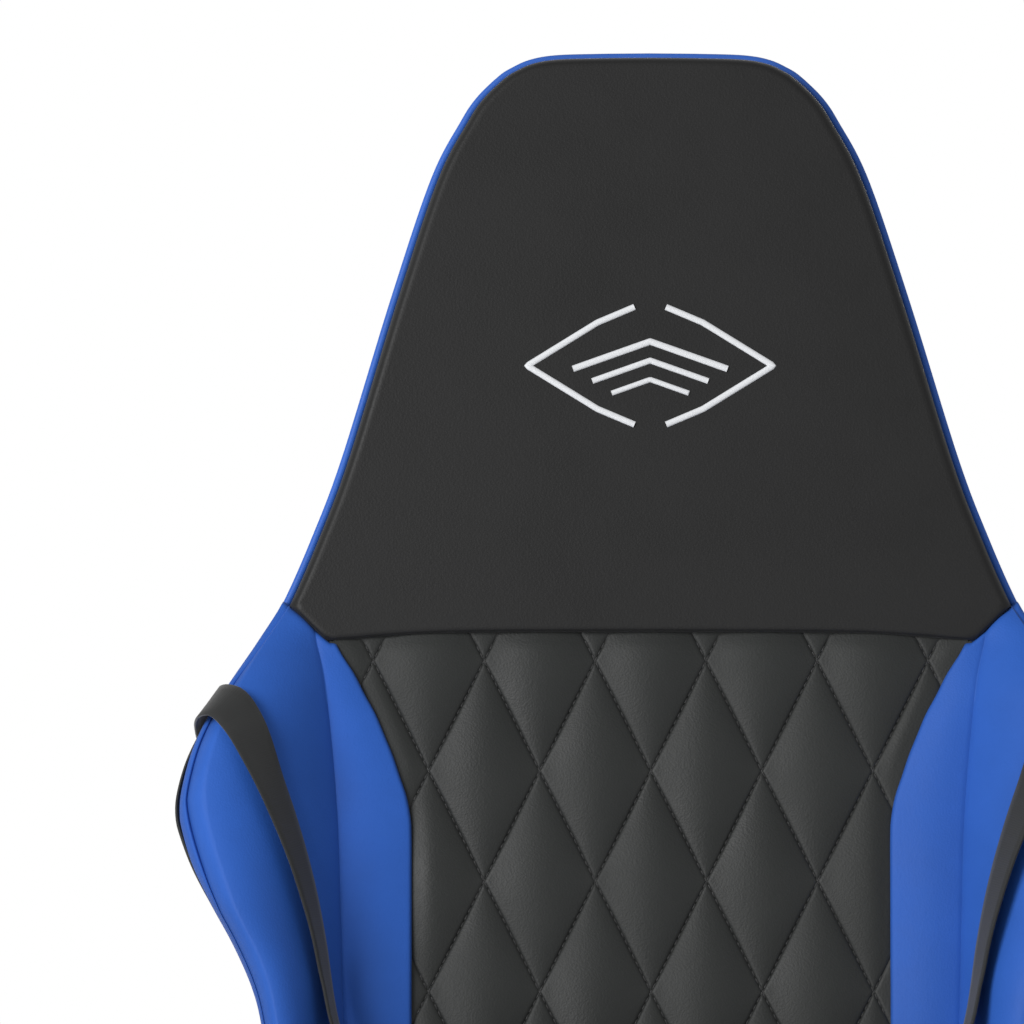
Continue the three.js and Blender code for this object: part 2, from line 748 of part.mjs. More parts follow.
function reclineLever() {
  const hubInner = LEVER_HUB_INNER;
  const hubOuter = hubInner + HUB_OUT;
  const [y, z] = [HINGE_BACK, HINGE_Z];
  const hub = barAlongX(HUB_DISC, hubInner, hubOuter, 0, 0, 20);
  const bar = block([hubOuter - 1, hubOuter - 1 + HANDLE_BAR], [-HANDLE_LENGTH + 20, 10], [-8, 8]);
  const grip = barAlongY(HANDLE_GRIP, -HANDLE_LENGTH, -HANDLE_LENGTH + 80, hubOuter + 2, 0, 12);
  const bore = barAlongX(HINGE_ROD + SEAM, hubInner - 1, hubOuter - 5, 0, 0, 16);
  const lever = cut(join(hub, bar, grip), bore);
  const raised = lever.rotateX(THREE.MathUtils.degToRad(6)).scale(-1, 1, 1);
  return facingOut(raised).translate(0, y, z);
}

function addHinge() {
  addPair(part, "recliner_bracket", reclinerBracket(), PAINTED);
  addPair(part, "recliner_cover", reclinerCover(), NYLON);
  const leverEnd = LEVER_HUB_INNER + HUB_OUT - 6;
  const rod = barAlongX(HINGE_ROD, -leverEnd, HINGE_COVER_INNER + 4, HINGE_BACK, HINGE_Z, 16);
  add(part, "recline_rod", rod, STEEL);
  add(part, "recline_lever", reclineLever(), NYLON);
}

// ---- Armrests ----
function armBracket() {
  const under = BOARD_UNDER - SEAM - FOOT;
  const top = BOARD_UNDER + UPRIGHT.top;
  const [halfX, halfY] = [UPRIGHT.thick / 2, UPRIGHT.width / 2];
  const foot = block([FOOT_INNER, ARM_AXIS], [ARM_MIDDLE - halfY, ARM_MIDDLE + halfY], [under, under + FOOT]);
  const upright = slabZ(roundedRectangle(halfX, halfY, halfX - 2, ARM_AXIS, ARM_MIDDLE), under, top);
  const pocket = slabZ(
    roundedRectangle(POST.thick / 2 + RUN, POST.width / 2 + RUN, 4, ARM_AXIS, ARM_MIDDLE),
    under + FOOT,
    top + 1,
  );
  const hole = barAlongX(BUTTON_RADIUS + RUN, ARM_AXIS, ARM_AXIS + halfX + 1, ARM_MIDDLE, top - BUTTON_DROP, 16);
  return cut(join(foot, upright), pocket, hole);
}

function armPost() {
  const top = BOARD_UNDER + UPRIGHT.top;
  const plateUnder = top - POST.bite + POST.length;
  const post = slabZ(
    roundedRectangle(POST.thick / 2, POST.width / 2, 4, ARM_AXIS, ARM_MIDDLE),
    top - POST.bite,
    plateUnder + 1,
  );
  const plate = slabZ(
    roundedRectangle(POST_PLATE.half, POST_PLATE.length / 2, 12, ARM_AXIS, ARM_MIDDLE),
    plateUnder,
    plateUnder + POST_PLATE.thick,
  );
  return join(post, plate);
}

function armPad() {
  const under = BOARD_UNDER + UPRIGHT.top - POST.bite + POST.length + POST_PLATE.thick + SEAM;
  const shape = roundedRectangle(ARM_PAD.half - 4, ARM_PAD.length / 2 - 4, ARM_PAD.corner - 4, ARM_AXIS, ARM_MIDDLE);
  const pad = new THREE.ExtrudeGeometry(shape, {
    depth: ARM_PAD.thick - 12,
    bevelThickness: 6,
    bevelSize: 4,
    bevelSegments: 1,
    curveSegments: 4,
  });
  return pad.translate(0, 0, under + 6);
}

function addArmrests() {
  addPair(part, "armrest_bracket", armBracket(), NYLON);
  addPair(part, "armrest_post", armPost(), NYLON);
  addPair(part, "armrest_pad", armPad(), RUBBERED);
  const face = ARM_AXIS + UPRIGHT.thick / 2;
  const z = BOARD_UNDER + UPRIGHT.top - BUTTON_DROP;
  const button = barAlongX(BUTTON_RADIUS, face - BUTTON_SEAT, face + BUTTON_STAND, ARM_MIDDLE, z, 16);
  addPair(part, "armrest_button", button, NYLON);
}

// ---- Back, in its own frame: x across, y behind the hinge, z up from the hinge ----
const outlineHalf = along(OUTLINE);
const quiltHalf = along(QUILT_EDGE);
const foldHalf = along(FOLD);
const ridgeHalf = along(RIDGE);
const ridgeFront = along(RIDGE, 2);

// Both halves of an outline, as [x, z] points that run round it.
function mirroredOutline(half) {
  const right = half.map(([x, drop]) => [x, BACK_TOP - drop]);
  const left = right.map(([x, z]) => [-x, z]).reverse();
  return [...right, ...left];
}

// The same outline drawn in by a margin.
function inset(points, margin) {
  const n = points.length;
  return points.map(([x, z], i) => {
    const [ax, az] = points[(i + n - 1) % n];
    const [bx, bz] = points[(i + 1) % n];
    const length = Math.hypot(bx - ax, bz - az);
    return [x - (margin * (az - bz)) / length, z - (margin * (bx - ax)) / length];
  });
}

// Distances down at which the wings and the quilted pad change direction.
const panelDrops = [352, 375, 409, 445, 470];

const shellDrops = [1.2, 10, 27, 48, 73, 143, 190, 236, 282, 318, 363, 409, 442, 479, 525, 565, 640, BACK_DROP - 40];
const shellOutline = mirroredOutline([...shellDrops.map((drop) => [outlineHalf(drop), drop]), [196, BACK_DROP]]);

const layer = (points, y) => points.map(([x, z]) => [x, y, z]);

function rearShell() {
  const body = loft([
    layer(shellOutline, -SHELL_FRONT),
    layer(shellOutline, SHELL_BACK - 18),
    layer(inset(shellOutline, 5), SHELL_BACK - 6),
    layer(inset(shellOutline, 17), SHELL_BACK),
  ]);
  const pocket = inset(shellOutline, SHELL_WALL);
  const room = loft([layer(pocket, -SHELL_FRONT - 1), layer(pocket, SHELL_BACK - SHELL_WALL)]);
  const legRoom = FRAME_TUBE + SWING;
  const notches = [-LEG_HALF, LEG_HALF].map((x) =>
    block([x - legRoom, x + legRoom], [-SHELL_FRONT - 1, FRAME_PLANE + legRoom], [BACK_BOTTOM - 2, BACK_BOTTOM + 20]),
  );
  return cut(body, room, ...notches);
}

function headPad() {
  const drops = [1.2, 10, 27, 48, 73, 143, 236, 282, HEAD_CORNER.drop];
  const edge = [
    ...drops.map((drop) => [outlineHalf(drop), drop]),
    [191, HEAD_SEAM - 6],
    [quiltHalf(340), 340],
    [125, HEAD_SEAM],
  ];
  const outline = inset(mirroredOutline(edge), SEAM);
  const back = -SHELL_FRONT - SEAM;
  return loft([
    layer(outline, back),
    layer(inset(outline, 2), -PAD_FRONT + 12),
    layer(inset(outline, 12), -PAD_FRONT),
  ]);
}

function quiltedPad() {
  const top = HEAD_SEAM + 2 * SEAM;
  const edge = [
    [125, top],
    [quiltHalf(342) - SEAM, 342],
    ...panelDrops.map((drop) => [quiltHalf(drop) - SEAM, drop]),
    [quiltHalf(BACK_DROP) - SEAM, BACK_DROP],
  ];
  const back = -SHELL_FRONT - SEAM;
  return slabY(drawn(mirroredOutline(edge)), -PAD_FRONT, back);
}

function wing() {
  const back = -SHELL_FRONT - SEAM;
  const drops = [...panelDrops, 502, 562, 620, 685, BACK_DROP - 40, BACK_DROP].reverse();
  const rings = drops.map((drop) => {
    const inner = quiltHalf(drop) + SEAM;
    const outer = outlineHalf(drop) - SEAM;
    const [ridge, front] = [ridgeHalf(drop), ridgeFront(drop)];
    return wingSection(drop, inner, foldHalf(drop), ridge, front, outer, back);
  });
  rings.push(wingSection(341.5, 184, 191, 215, 45, outlineHalf(341.5) - SEAM, back));
  rings.push(wingSection(HEAD_CORNER.drop + 6, 200, 204, 208, 36, outlineHalf(HEAD_CORNER.drop + 6) - SEAM, back));
  return loft(rings);
}

function wingSection(drop, inner, fold, ridge, front, outer, back) {
  const z = BACK_TOP - drop;
  const crest = Math.min(outer - 9, ridge + 8);
  return [
    [inner, back, z],
    [outer, back, z],
    [outer, -front + 28, z],
    [outer - 4, -front + 12, z],
    [crest, -front, z],
    [ridge - 6, -front + 3, z],
    [fold, -PAD_FRONT - 7, z],
    [inner, -PAD_FRONT, z],
  ];
}

function backFrame() {
  const y = FRAME_PLANE;
  const bend = 60;
  const path = new THREE.CurvePath();
  const at = (x, z) => new THREE.Vector3(x, y, z);
  const knee = BACK_BOTTOM + 90;
  const bottom = BACK_BOTTOM - 32;
  path.add(new THREE.LineCurve3(at(-LEG_HALF, bottom), at(-LEG_HALF, knee)));
  path.add(new THREE.LineCurve3(at(-LEG_HALF, knee), at(-FRAME_HALF, knee + 60)));
  path.add(new THREE.LineCurve3(at(-FRAME_HALF, knee + 60), at(-FRAME_HALF, FRAME_TOP - bend)));
  path.add(new THREE.QuadraticBezierCurve3(
    at(-FRAME_HALF, FRAME_TOP - bend), at(-FRAME_HALF + 10, FRAME_TOP), at(-FRAME_HALF + 70, FRAME_TOP)));
  path.add(new THREE.LineCurve3(at(-FRAME_HALF + 70, FRAME_TOP), at(FRAME_HALF - 70, FRAME_TOP)));
  path.add(new THREE.QuadraticBezierCurve3(
    at(FRAME_HALF - 70, FRAME_TOP), at(FRAME_HALF - 10, FRAME_TOP), at(FRAME_HALF, FRAME_TOP - bend)));
  path.add(new THREE.LineCurve3(at(FRAME_HALF, FRAME_TOP - bend), at(FRAME_HALF, knee + 60)));
  path.add(new THREE.LineCurve3(at(FRAME_HALF, knee + 60), at(LEG_HALF, knee)));
  path.add(new THREE.LineCurve3(at(LEG_HALF, knee), at(LEG_HALF, bottom)));
  const ring = new THREE.Shape().absarc(0, 0, FRAME_TUBE, 0, Math.PI * 2, false);
  const tube = new THREE.ExtrudeGeometry(ring, { steps: 40, extrudePath: path, curveSegments: 4 });
  const rails = [230, 470].map((z) => barAlongX(FRAME_TUBE - 3, -FRAME_HALF, FRAME_HALF, y, z, 10));
  const [plateInner, plateOuter] = [BOARD_HALF - BRACKET, BOARD_HALF];
  const plate = barAlongX(BACK_PLATE_RADIUS, plateInner, plateOuter, 0, 0, 20);
  const link = block([LEG_HALF - FRAME_TUBE + 2, plateOuter], [-9, FRAME_PLANE + 9], [15, 36]);
  const hinge = join(plate, link);
  const other = facingOut(hinge.clone().scale(-1, 1, 1));
  const bores = [-1, 1].map((side) =>
    barAlongX(HINGE_ROD + RUN, side > 0 ? plateInner - 1 : -plateOuter - 1, side > 0 ? plateOuter + 1 : -plateInner + 1, 0, 0, 16),
  );
  return cut(join(tube, ...rails, hinge, other), ...bores);
}

// A flat strap along points [x, y, z], lying square to the direction it faces at each point.
function strapAlong(points, facings) {
  const v = (p) => new THREE.Vector3(...p);
  const rings = points.map((p, i) => {
    const before = v(points[Math.max(i - 1, 0)]);
    const after = v(points[Math.min(i + 1, points.length - 1)]);
    const run = after.sub(before).normalize();
    const face = v(facings[i]);
    face.addScaledVector(run, -face.dot(run)).normalize();
    const side = new THREE.Vector3().crossVectors(run, face).multiplyScalar(STRAP.width / 2);
    const out = face.multiplyScalar(STRAP.thick);
    const centre = v(p);
    return [
      centre.clone().sub(side),
      centre.clone().sub(side).add(out),
      centre.clone().add(side).add(out),
      centre.clone().add(side),
    ].map((q) => q.toArray());
  });
  return loft(rings);
}

function shoulderStrap() {
  const lift = 3; // the strap lies this far off the cover
  const front = STRAP_RUN.map(([x, drop, forward]) => [x, -forward - lift, BACK_TOP - drop]);
  const facings = STRAP_RUN.map(() => [-0.62, -0.78, 0]);
  const rear = SHELL_BACK + lift;
  const rim = (drop, out) => [outlineHalf(drop) + out, BACK_TOP - drop];
  const [[x1, z1], [x2, z2], [x3, z3], [x4, z4]] = [rim(372, 2), rim(369, 5), rim(370, 5), rim(374, 8)];
  const over = [
    [[x1, -76, z1], [0.5, -1, 0.3]],
    [[x2, -50, z2], [1, -0.2, 0.65]],
    [[x3, 0, z3], [1, 0, 0.65]],
    [[x4, 24, z4], [1, 0.6, 0.5]],
    [[x4 - 20, rear + 2, z4 - 8], [0.2, 1, 0.2]],
    [[190, rear, 380], [0, 1, 0]],
    [[150, rear, 250], [0, 1, 0]],
    [[128, rear, 120], [0, 1, 0]],
    [[122, rear, BACK_BOTTOM + 8], [0, 1, -0.2]],
    [[120, rear - 12, BACK_BOTTOM - 6], [0, 0.7, -1]],
    [[120, 0, BACK_BOTTOM - 8], [0, 0, -1]],
    [[120, -PAD_FRONT + 6, BACK_BOTTOM - 5], [0, -0.4, -1]],
  ];
  const points = [...front, ...over.map(([p]) => p)];
  return strapAlong(points, [...facings, ...over.map(([, f]) => f)]);
}

function lumbarCushion() {
  const { half, bottom, top, thick, round, corner } = LUMBAR;
  const shape = roundedRectangle(half - round, (top - bottom) / 2 - round, corner - round, 0, (top + bottom) / 2);
  const pad = new THREE.ExtrudeGeometry(shape, {
    depth: thick - 2 * round,
    bevelThickness: round,
    bevelSize: round,
    bevelSegments: 2,
    curveSegments: 3,
  });
  return pad.rotateX(Math.PI / 2).translate(0, -PAD_FRONT - 2 - round, 0);
}

function addBack() {
  const back = new THREE.Group();
  back.position.set(0, HINGE_BACK, HINGE_Z);
  back.rotation.x = -LEAN;
  add(back, "back_frame", backFrame(), PAINTED);
  add(back, "rear_shell", rearShell(), BLACK_HIDE);
  add(back, "head_pad", headPad(), BLACK_HIDE);
  add(back, "quilted_pad", quiltedPad(), BLACK_HIDE);
  addPair(back, "wing", wing(), BLUE_HIDE);
  addPair(back, "shoulder_strap", shoulderStrap(), WEBBING);
  add(back, "lumbar_cushion", lumbarCushion(), BLUE_HIDE);
  part.add(back);
}

add(part, "star_base", starBase(), NYLON);
addCasters();
addColumn();
addTelescopicCover();
addMechanism();
addSeat();
addHinge();
addArmrests();
addBack();

export default part;
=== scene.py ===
import json
import math

import bmesh
import bpy
import numpy as np
from mathutils import Matrix, Vector
from mathutils.geometry import convex_hull_2d, delaunay_2d_cdt, tessellate_polygon
from mathutils.kdtree import KDTree


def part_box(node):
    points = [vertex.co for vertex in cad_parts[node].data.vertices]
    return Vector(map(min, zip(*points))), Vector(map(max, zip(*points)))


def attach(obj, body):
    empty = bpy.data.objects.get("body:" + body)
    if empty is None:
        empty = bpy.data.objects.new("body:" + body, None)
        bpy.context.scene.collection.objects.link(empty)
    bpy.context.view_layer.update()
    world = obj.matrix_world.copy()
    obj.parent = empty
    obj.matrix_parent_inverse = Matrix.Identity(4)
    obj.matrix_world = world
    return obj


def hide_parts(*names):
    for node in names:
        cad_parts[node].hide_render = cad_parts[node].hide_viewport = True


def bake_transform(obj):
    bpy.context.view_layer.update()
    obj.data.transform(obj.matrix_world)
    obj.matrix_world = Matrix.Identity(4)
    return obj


bl_info = {
    "name": "Racing chair covers",
    "version": (1, 0, 0),
    "blender": (4, 5, 0),
    "location": "3D View > Sidebar > Chair",
    "description": "Upholsters and finishes a racing-style swivel chair around its frame",
    "category": "Object",
}

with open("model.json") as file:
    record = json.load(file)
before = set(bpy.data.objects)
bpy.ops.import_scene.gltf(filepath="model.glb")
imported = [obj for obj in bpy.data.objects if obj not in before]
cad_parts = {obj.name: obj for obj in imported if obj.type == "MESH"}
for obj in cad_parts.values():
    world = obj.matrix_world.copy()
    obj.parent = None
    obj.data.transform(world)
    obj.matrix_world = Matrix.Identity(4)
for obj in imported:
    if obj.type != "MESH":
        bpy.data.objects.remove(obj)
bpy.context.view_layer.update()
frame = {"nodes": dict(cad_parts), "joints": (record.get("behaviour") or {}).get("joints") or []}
JOINTS = {joint["name"]: joint for joint in frame["joints"]}

# The back's own frame: millimetres across, in front of the hinge plane, and up from the hinge.
HINGE = Vector(JOINTS["back_recline"]["pos_m"])
UP = Vector(JOINTS["back_lumbar_slide"]["axis"])
LEAN = math.atan2(UP.y, UP.z)
BACK_TOP = 845.0
BACK_BOTTOM = 50.0
BACK_DROP = BACK_TOP - BACK_BOTTOM

# Half width and distance down from the back's top.
OUTLINE = [
    (0, 0), (30, 0.3), (55, 1.2), (70, 4.2), (82, 10), (91, 17.5), (100, 27), (108, 39.5), (125, 73),
    (148, 143), (176, 236), (193, 282), (209, 319), (223, 343.5), (238, 367), (253, 390.5), (263.5, 412.5),
    (269.3, 434), (270, 447.5), (267.5, 459), (260, 479), (248, 502), (235.5, 525), (225.5, 548),
    (220, 570), (214, 612), (211, 660), (209, 720), (207, 765), (202, 785), (190, BACK_DROP),
]
QUILT_EDGE = [
    (181, 340), (175.6, 351), (168, 363), (162, 375), (156, 386), (151, 398), (146.5, 409),
    (142.5, 421), (138.5, 433), (136.4, 444), (135.6, 456), (135.5, 500), (135.5, 700),
    (135.5, BACK_DROP),
]
FOLD = [
    (191, 334), (189.5, 345), (185, 367), (180, 413), (177, 456), (175.3, 516), (174, 562),
    (170, 685), (166, BACK_DROP),
]
CREASE = [
    (208.5, 320), (220.5, 343), (234.5, 367), (249, 390), (260.8, 423), (262, 441), (259, 460),
    (250.5, 488), (242.5, 508), (233.5, 530), (224, 556), (212.5, 612), (208, 700), (196, BACK_DROP),
]
# The wing's ridge: half width, distance down, and how far it stands in front.
RIDGE = [
    (206.5, 324, 33), (219, 348, 50), (233, 378, 74), (245.5, 412, 90), (250, 447, 97),
    (235, 502, 101), (211.5, 562, 100), (200.5, 685, 92), (189, BACK_DROP, 74),
]
# The seam between the head panel and the wing.
SHOULDER_SEAM = [(170, 344), (181, 344.3), (184, 343), (191, 336.5), (197, 330.3), (204, 323.5), (211, 317)]
# The seam between the head panel and the quilted panel.
HEAD_SEAM = [(184, 343.3), (170, 342.4), (153, 340.9), (125, 339.3), (90, 338.6), (0, 338.4)]

PIPING = 2.4  # radius of the piping round the head
SHELL_BACK = 34.0  # the rear cover's flat back, behind the hinge plane
PANEL_BASE = 7.0  # every panel's underside, in front of the hinge plane
HEAD_FRONT = 37.0  # the head panel's front, in front of the hinge plane
QUILT_FRONT = 33.0  # the bottom of the quilted panel's channels
TUCK = 3.5  # how far the quilted panel runs under its neighbours
QUILT_ORIGIN = BACK_TOP - 418.0  # height of a row of crossings that has one on the middle line
# Grid lines from a channel to half way to the next, as shares of a diamond: closest by the channel.
QUILT_STEPS = (0, 0.008, 0.019, 0.04, 0.075, 0.12, 0.18, 0.26, 0.34, 0.42, 0.5)
CHANNEL_SIDE = 0.13  # grid lines this near to a channel stay joined, so that it runs straight
WING_FRONT = 37.5  # the wing's seam with the quilted panel, in front of the hinge plane
WALL_LEAN = 11.0  # how far the wing's outer wall draws in by its foot, to stay under the rear cover
# Lines of points between two seams of the wing, as shares of the way: closest by the seams.
WING_STEPS = np.array([0, 0.015, 0.035, 0.06, 0.1, 0.16, 0.24, 0.33, 0.42, 0.5, 0.58, 0.67, 0.76, 0.84,
                       0.9, 0.94, 0.965, 0.985])


# ---- Colours and sizes a user would change ----
def linear(hex_colour):
    """The linear colour of an sRGB hex value."""
    channels = [int(hex_colour[i:i + 2], 16) / 255 for i in (1, 3, 5)]
    return tuple(c / 12.92 if c <= 0.04045 else ((c + 0.055) / 1.055) ** 2.4 for c in channels)


def colour(name, description, hex_colour):
    """A colour property with an sRGB hex default."""
    return bpy.props.FloatVectorProperty(
        name=name, description=description, default=linear(hex_colour), size=3, min=0, max=1,
        subtype="COLOR",
    )


def length(name, description, millimetres):
    """A length property with a default in millimetres."""
    return bpy.props.FloatProperty(
        name=name, description=description, default=millimetres / 1000, min=0, unit="LENGTH",
        precision=4,
    )


class ChairColours(bpy.types.PropertyGroup):
    """The finishes' colours."""
    black: colour("Black leather", "Cover of the centre, seat and rear", "#262827")
    head: colour("Head leather", "Cover of the head panel", "#1c1c1c")
    blue: colour("Blue leather", "Cover of the wings and bolsters", "#2b5eb9")
    piping: colour("Piping", "Piping round the head and the cushions", "#3467c6")
    thread: colour("Embroidery thread", "Motif on the head panel", "#e9ebee")
    webbing: colour("Webbing", "Shoulder straps", "#232424")
    nylon: colour("Nylon", "Moulded base, levers and covers", "#1c1d1e")
    steel: colour("Steel", "Bright steel of rods, pins and cylinder", "#a3a6aa")
    powder: colour("Powder coat", "Painted steel brackets and plates", "#202123")
    zinc: colour("Zinc plate", "Screws and washers", "#9aa0a6")
    tread: colour("Tread", "Wheel treads", "#222223")
    birch: colour("Birch", "Plywood seat board", "#c49a66")


class ChairSizes(bpy.types.PropertyGroup):
    """Sizes of what is sewn, and of the leather's grain."""
    quilt_across: length("Quilt width", "Diamond width across the back", 63.0)
    quilt_tall: length("Quilt height", "Diamond height along the back", 126.6)
    quilt_rise: length("Quilt rise", "How far each diamond stands out of its channels", 4.4)
    seam_depth: length("Seam depth", "How deep a sewn seam sinks", 2.4)
    stitch: length("Stitch", "Length of one visible stitch", 3.2)
    stitch_pitch: length("Stitch pitch", "From one stitch to the next", 4.6)
    strap_width: length("Strap width", "Width of the shoulder straps", 25.0)
    strap_thick: length("Strap thickness", "Thickness of the shoulder straps", 1.6)
    pebble: length("Pebble", "Size of one pebble of the leather's grain", 1.1)


def sizes():
    """The sizes set in the panel."""
    return bpy.context.scene.chair_sizes


# ---- Curves ----
def smooth(points, steps=12):
    """A curve through points, with steps points for each stretch."""
    p = np.array(points, float)
    p = np.vstack([2 * p[0] - p[1], p, 2 * p[-1] - p[-2]])
    t = np.linspace(0, 1, steps, endpoint=False)[:, None]
    rows = []
    for a, b, c, d in zip(p, p[1:], p[2:], p[3:]):
        cubic = (3 * b - a - 3 * c + d) * t ** 3
        rows.append(0.5 * (2 * b + (c - a) * t + (2 * a - 5 * b + 4 * c - d) * t ** 2 + cubic))
    rows.append(p[-2:-1])
    return np.vstack(rows)


def read_at(points, column=0):
    """A function that reads a curve's column at a distance down, its second number."""
    curve = smooth(points, 16)
    order = np.argsort(curve[:, 1])
    return lambda drop: np.interp(drop, curve[order, 1], curve[order, column])


def spaced(points, gap, closed=False):
    """Points at an even gap along a polyline."""
    p = np.array(points, float)
    if closed:
        p = np.vstack([p, p[:1]])
    run = np.concatenate([[0], np.cumsum(np.linalg.norm(np.diff(p, axis=0), axis=1))])
    count = max(int(round(run[-1] / gap)), 3)
    at = np.linspace(0, run[-1], count + 1)
    if closed:
        at = at[:-1]
    return np.column_stack([np.interp(at, run, p[:, k]) for k in range(p.shape[1])])


def anticlockwise(loop):
    """The loop in anticlockwise order."""
    x, z = loop[:, 0], loop[:, 1]
    area = np.sum(x * np.roll(z, -1) - np.roll(x, -1) * z)
    return loop if area > 0 else loop[::-1]


def drawn_in(loop, margin):
    """An anticlockwise loop moved inwards by one margin, or by a margin for each point."""
    run = np.roll(loop, -1, 0) - np.roll(loop, 1, 0)
    run /= np.linalg.norm(run, axis=1)[:, None]
    return loop + np.column_stack([-run[:, 1], run[:, 0]]) * np.reshape(margin, (-1, 1))


def distance_to(points, line, closed=False):
    """Each point's distance to a polyline."""
    ends = np.roll(line, -1, 0) if closed else line[1:]
    starts = line if closed else line[:-1]
    nearest = np.full(len(points), np.inf)
    for a, b in zip(starts, ends):
        run = b - a
        t = np.clip((points - a) @ run / max(run @ run, 1e-12), 0, 1)
        gap = points - a - t[:, None] * run
        nearest = np.minimum(nearest, np.einsum("ij,ij->i", gap, gap))
    return np.sqrt(nearest)


def inside(points, loop):
    """Whether each point lies inside a loop."""
    hit = np.zeros(len(points), bool)
    for (x0, z0), (x1, z1) in zip(loop, np.roll(loop, -1, 0)):
        crosses = (z0 > points[:, 1]) != (z1 > points[:, 1])
        with np.errstate(divide="ignore", invalid="ignore"):
            at = (x1 - x0) * (points[:, 1] - z0) / (z1 - z0) + x0
        hit ^= crosses & (points[:, 0] < at)
    return hit


# Each line's half width, and how far the ridge stands in front, at a distance down.
outline_half = read_at(OUTLINE[2:])
quilt_half = read_at(QUILT_EDGE)
fold_half = read_at(FOLD)
crease_half = read_at(CREASE)
ridge_half = read_at(RIDGE)
ridge_front = read_at(RIDGE, 2)


def rolled(distance, radius, drop):
    """How far a padded edge rolls down at a distance from its seam."""
    t = np.clip(1 - distance / radius, 0, 1)
    return drop * (1 - np.sqrt(1 - t ** 2))


def eased(value, start, end):
    """0 at start, 1 at end, and smooth between."""
    t = np.clip((value - start) / (end - start), 0, 1)
    return t * t * (3 - 2 * t)


def in_row_frame(points):
    """Points of the back's own frame, [across, front, up] in millimetres, in the row frame."""
    p = np.asarray(points, float) / 1000
    y = -p[:, 1] * math.cos(LEAN) + p[:, 2] * math.sin(LEAN) + HINGE.y
    z = p[:, 1] * math.sin(LEAN) + p[:, 2] * math.cos(LEAN) + HINGE.z
    return np.column_stack([p[:, 0], y, z])


# ---- Making pieces ----
def piece(name, vertices, faces, finish, body=None, sharp=50, replaces=()):
    """A mesh object in the row frame that rides on a body. Its faces are turned outwards."""
    mesh = bpy.data.meshes.new(name)
    mesh.from_pydata([tuple(v) for v in vertices], [], [tuple(f) for f in faces])
    return finished(name, mesh, finish, body, sharp, replaces)


def finished(name, mesh, finish, body=None, sharp=50, replaces=()):
    """An object for a mesh, with its edges sharp above an angle and its finish and body set."""
    work = bmesh.new()
    work.from_mesh(mesh)
    bmesh.ops.remove_doubles(work, verts=work.verts, dist=1e-6)
    bmesh.ops.dissolve_degenerate(work, edges=work.edges, dist=1e-7)
    bmesh.ops.recalc_face_normals(work, faces=work.faces)
    work.to_mesh(mesh)
    work.free()
    mesh.shade_smooth()
    mesh.set_sharp_from_angle(angle=math.radians(sharp))
    mesh.materials.clear()
    mesh.materials.append(finish())
    obj = bpy.data.objects.new(name, mesh)
    bpy.context.scene.collection.objects.link(obj)
    if replaces:
        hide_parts(*replaces)
    if body:
        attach(obj, body)
    return obj


def with_modifiers(mesh, *modifiers):
    """The mesh after modifiers, each a (type, settings) pair."""
    obj = bpy.data.objects.new("work", mesh)
    bpy.context.scene.collection.objects.link(obj)
    for kind, settings in modifiers:
        modifier = obj.modifiers.new(kind.lower(), kind)
        for key, value in settings.items():
            setattr(modifier, key, value)
    bpy.context.view_layer.update()
    evaluated = obj.evaluated_get(bpy.context.evaluated_depsgraph_get())
    result = bpy.data.meshes.new_from_object(evaluated)
    bpy.data.objects.remove(obj)
    return result


def quads(rows, columns, closed_rows=False, closed_columns=False, start=0):
    """Faces over a grid of rows of points."""
    faces = []
    for r in range(rows if closed_rows else rows - 1):
        for c in range(columns if closed_columns else columns - 1):
            a, b = start + r * columns + c, start + r * columns + (c + 1) % columns
            below = ((r + 1) % rows - r) * columns
            faces.append((a, b, b + below, a + below))
    return faces


def tube(centres, radius, sides=10, closed=False):
    """Vertices and faces of a round tube along centres."""
    p = np.asarray(centres, float)
    if closed:
        run = np.roll(p, -1, 0) - np.roll(p, 1, 0)
    else:
        run = np.gradient(p, axis=0)
    run /= np.linalg.norm(run, axis=1)[:, None]
    side = np.cross(run, (0, 0, 1))
    weak = np.linalg.norm(side, axis=1) < 0.05
    side[weak] = np.cross(run[weak], (0, 1, 0))
    side /= np.linalg.norm(side, axis=1)[:, None]
    for i in range(1, len(p)):
        carried = side[i - 1] - run[i] * (side[i - 1] @ run[i])
        side[i] = carried / max(np.linalg.norm(carried), 1e-9)
    other = np.cross(run, side)
    rings = []
    for a in np.linspace(0, 2 * math.pi, sides, endpoint=False):
        rings.append(p + radius * (math.cos(a) * side + math.sin(a) * other))
    vertices = np.stack(rings, 1).reshape(-1, 3)
    faces = quads(len(p), sides, closed_rows=closed, closed_columns=True)
    if not closed:
        faces += [tuple(range(sides)), tuple(range(len(vertices) - sides, len(vertices)))]
    return vertices, faces


def turned(profile, segments=48):
    """A solid turned about Z, from [radius, height] points of a closed profile or one from axis to axis."""
    p = np.asarray(profile, float)
    on_axis = p[0, 0] < 1e-9
    ring = p[1:-1] if on_axis else p
    angles = np.linspace(0, 2 * math.pi, segments, endpoint=False)
    vertices = []
    for a in angles:
        vertices += [(r * math.cos(a), r * math.sin(a), z) for r, z in ring]
    faces = quads(segments, len(ring), closed_rows=True, closed_columns=not on_axis)
    if on_axis:
        low, high = len(vertices), len(vertices) + 1
        vertices += [(0, 0, p[0, 1]), (0, 0, p[-1, 1])]
        n = len(ring)
        for s in range(segments):
            t = (s + 1) % segments
            faces += [(low, s * n, t * n), (high, t * n + n - 1, s * n + n - 1)]
    return np.array(vertices, float), faces


def placed(vertices, matrix):
    """Vertices moved by a 4 x 4 matrix."""
    m = np.array(matrix)
    return np.asarray(vertices) @ m[:3, :3].T + m[:3, 3]


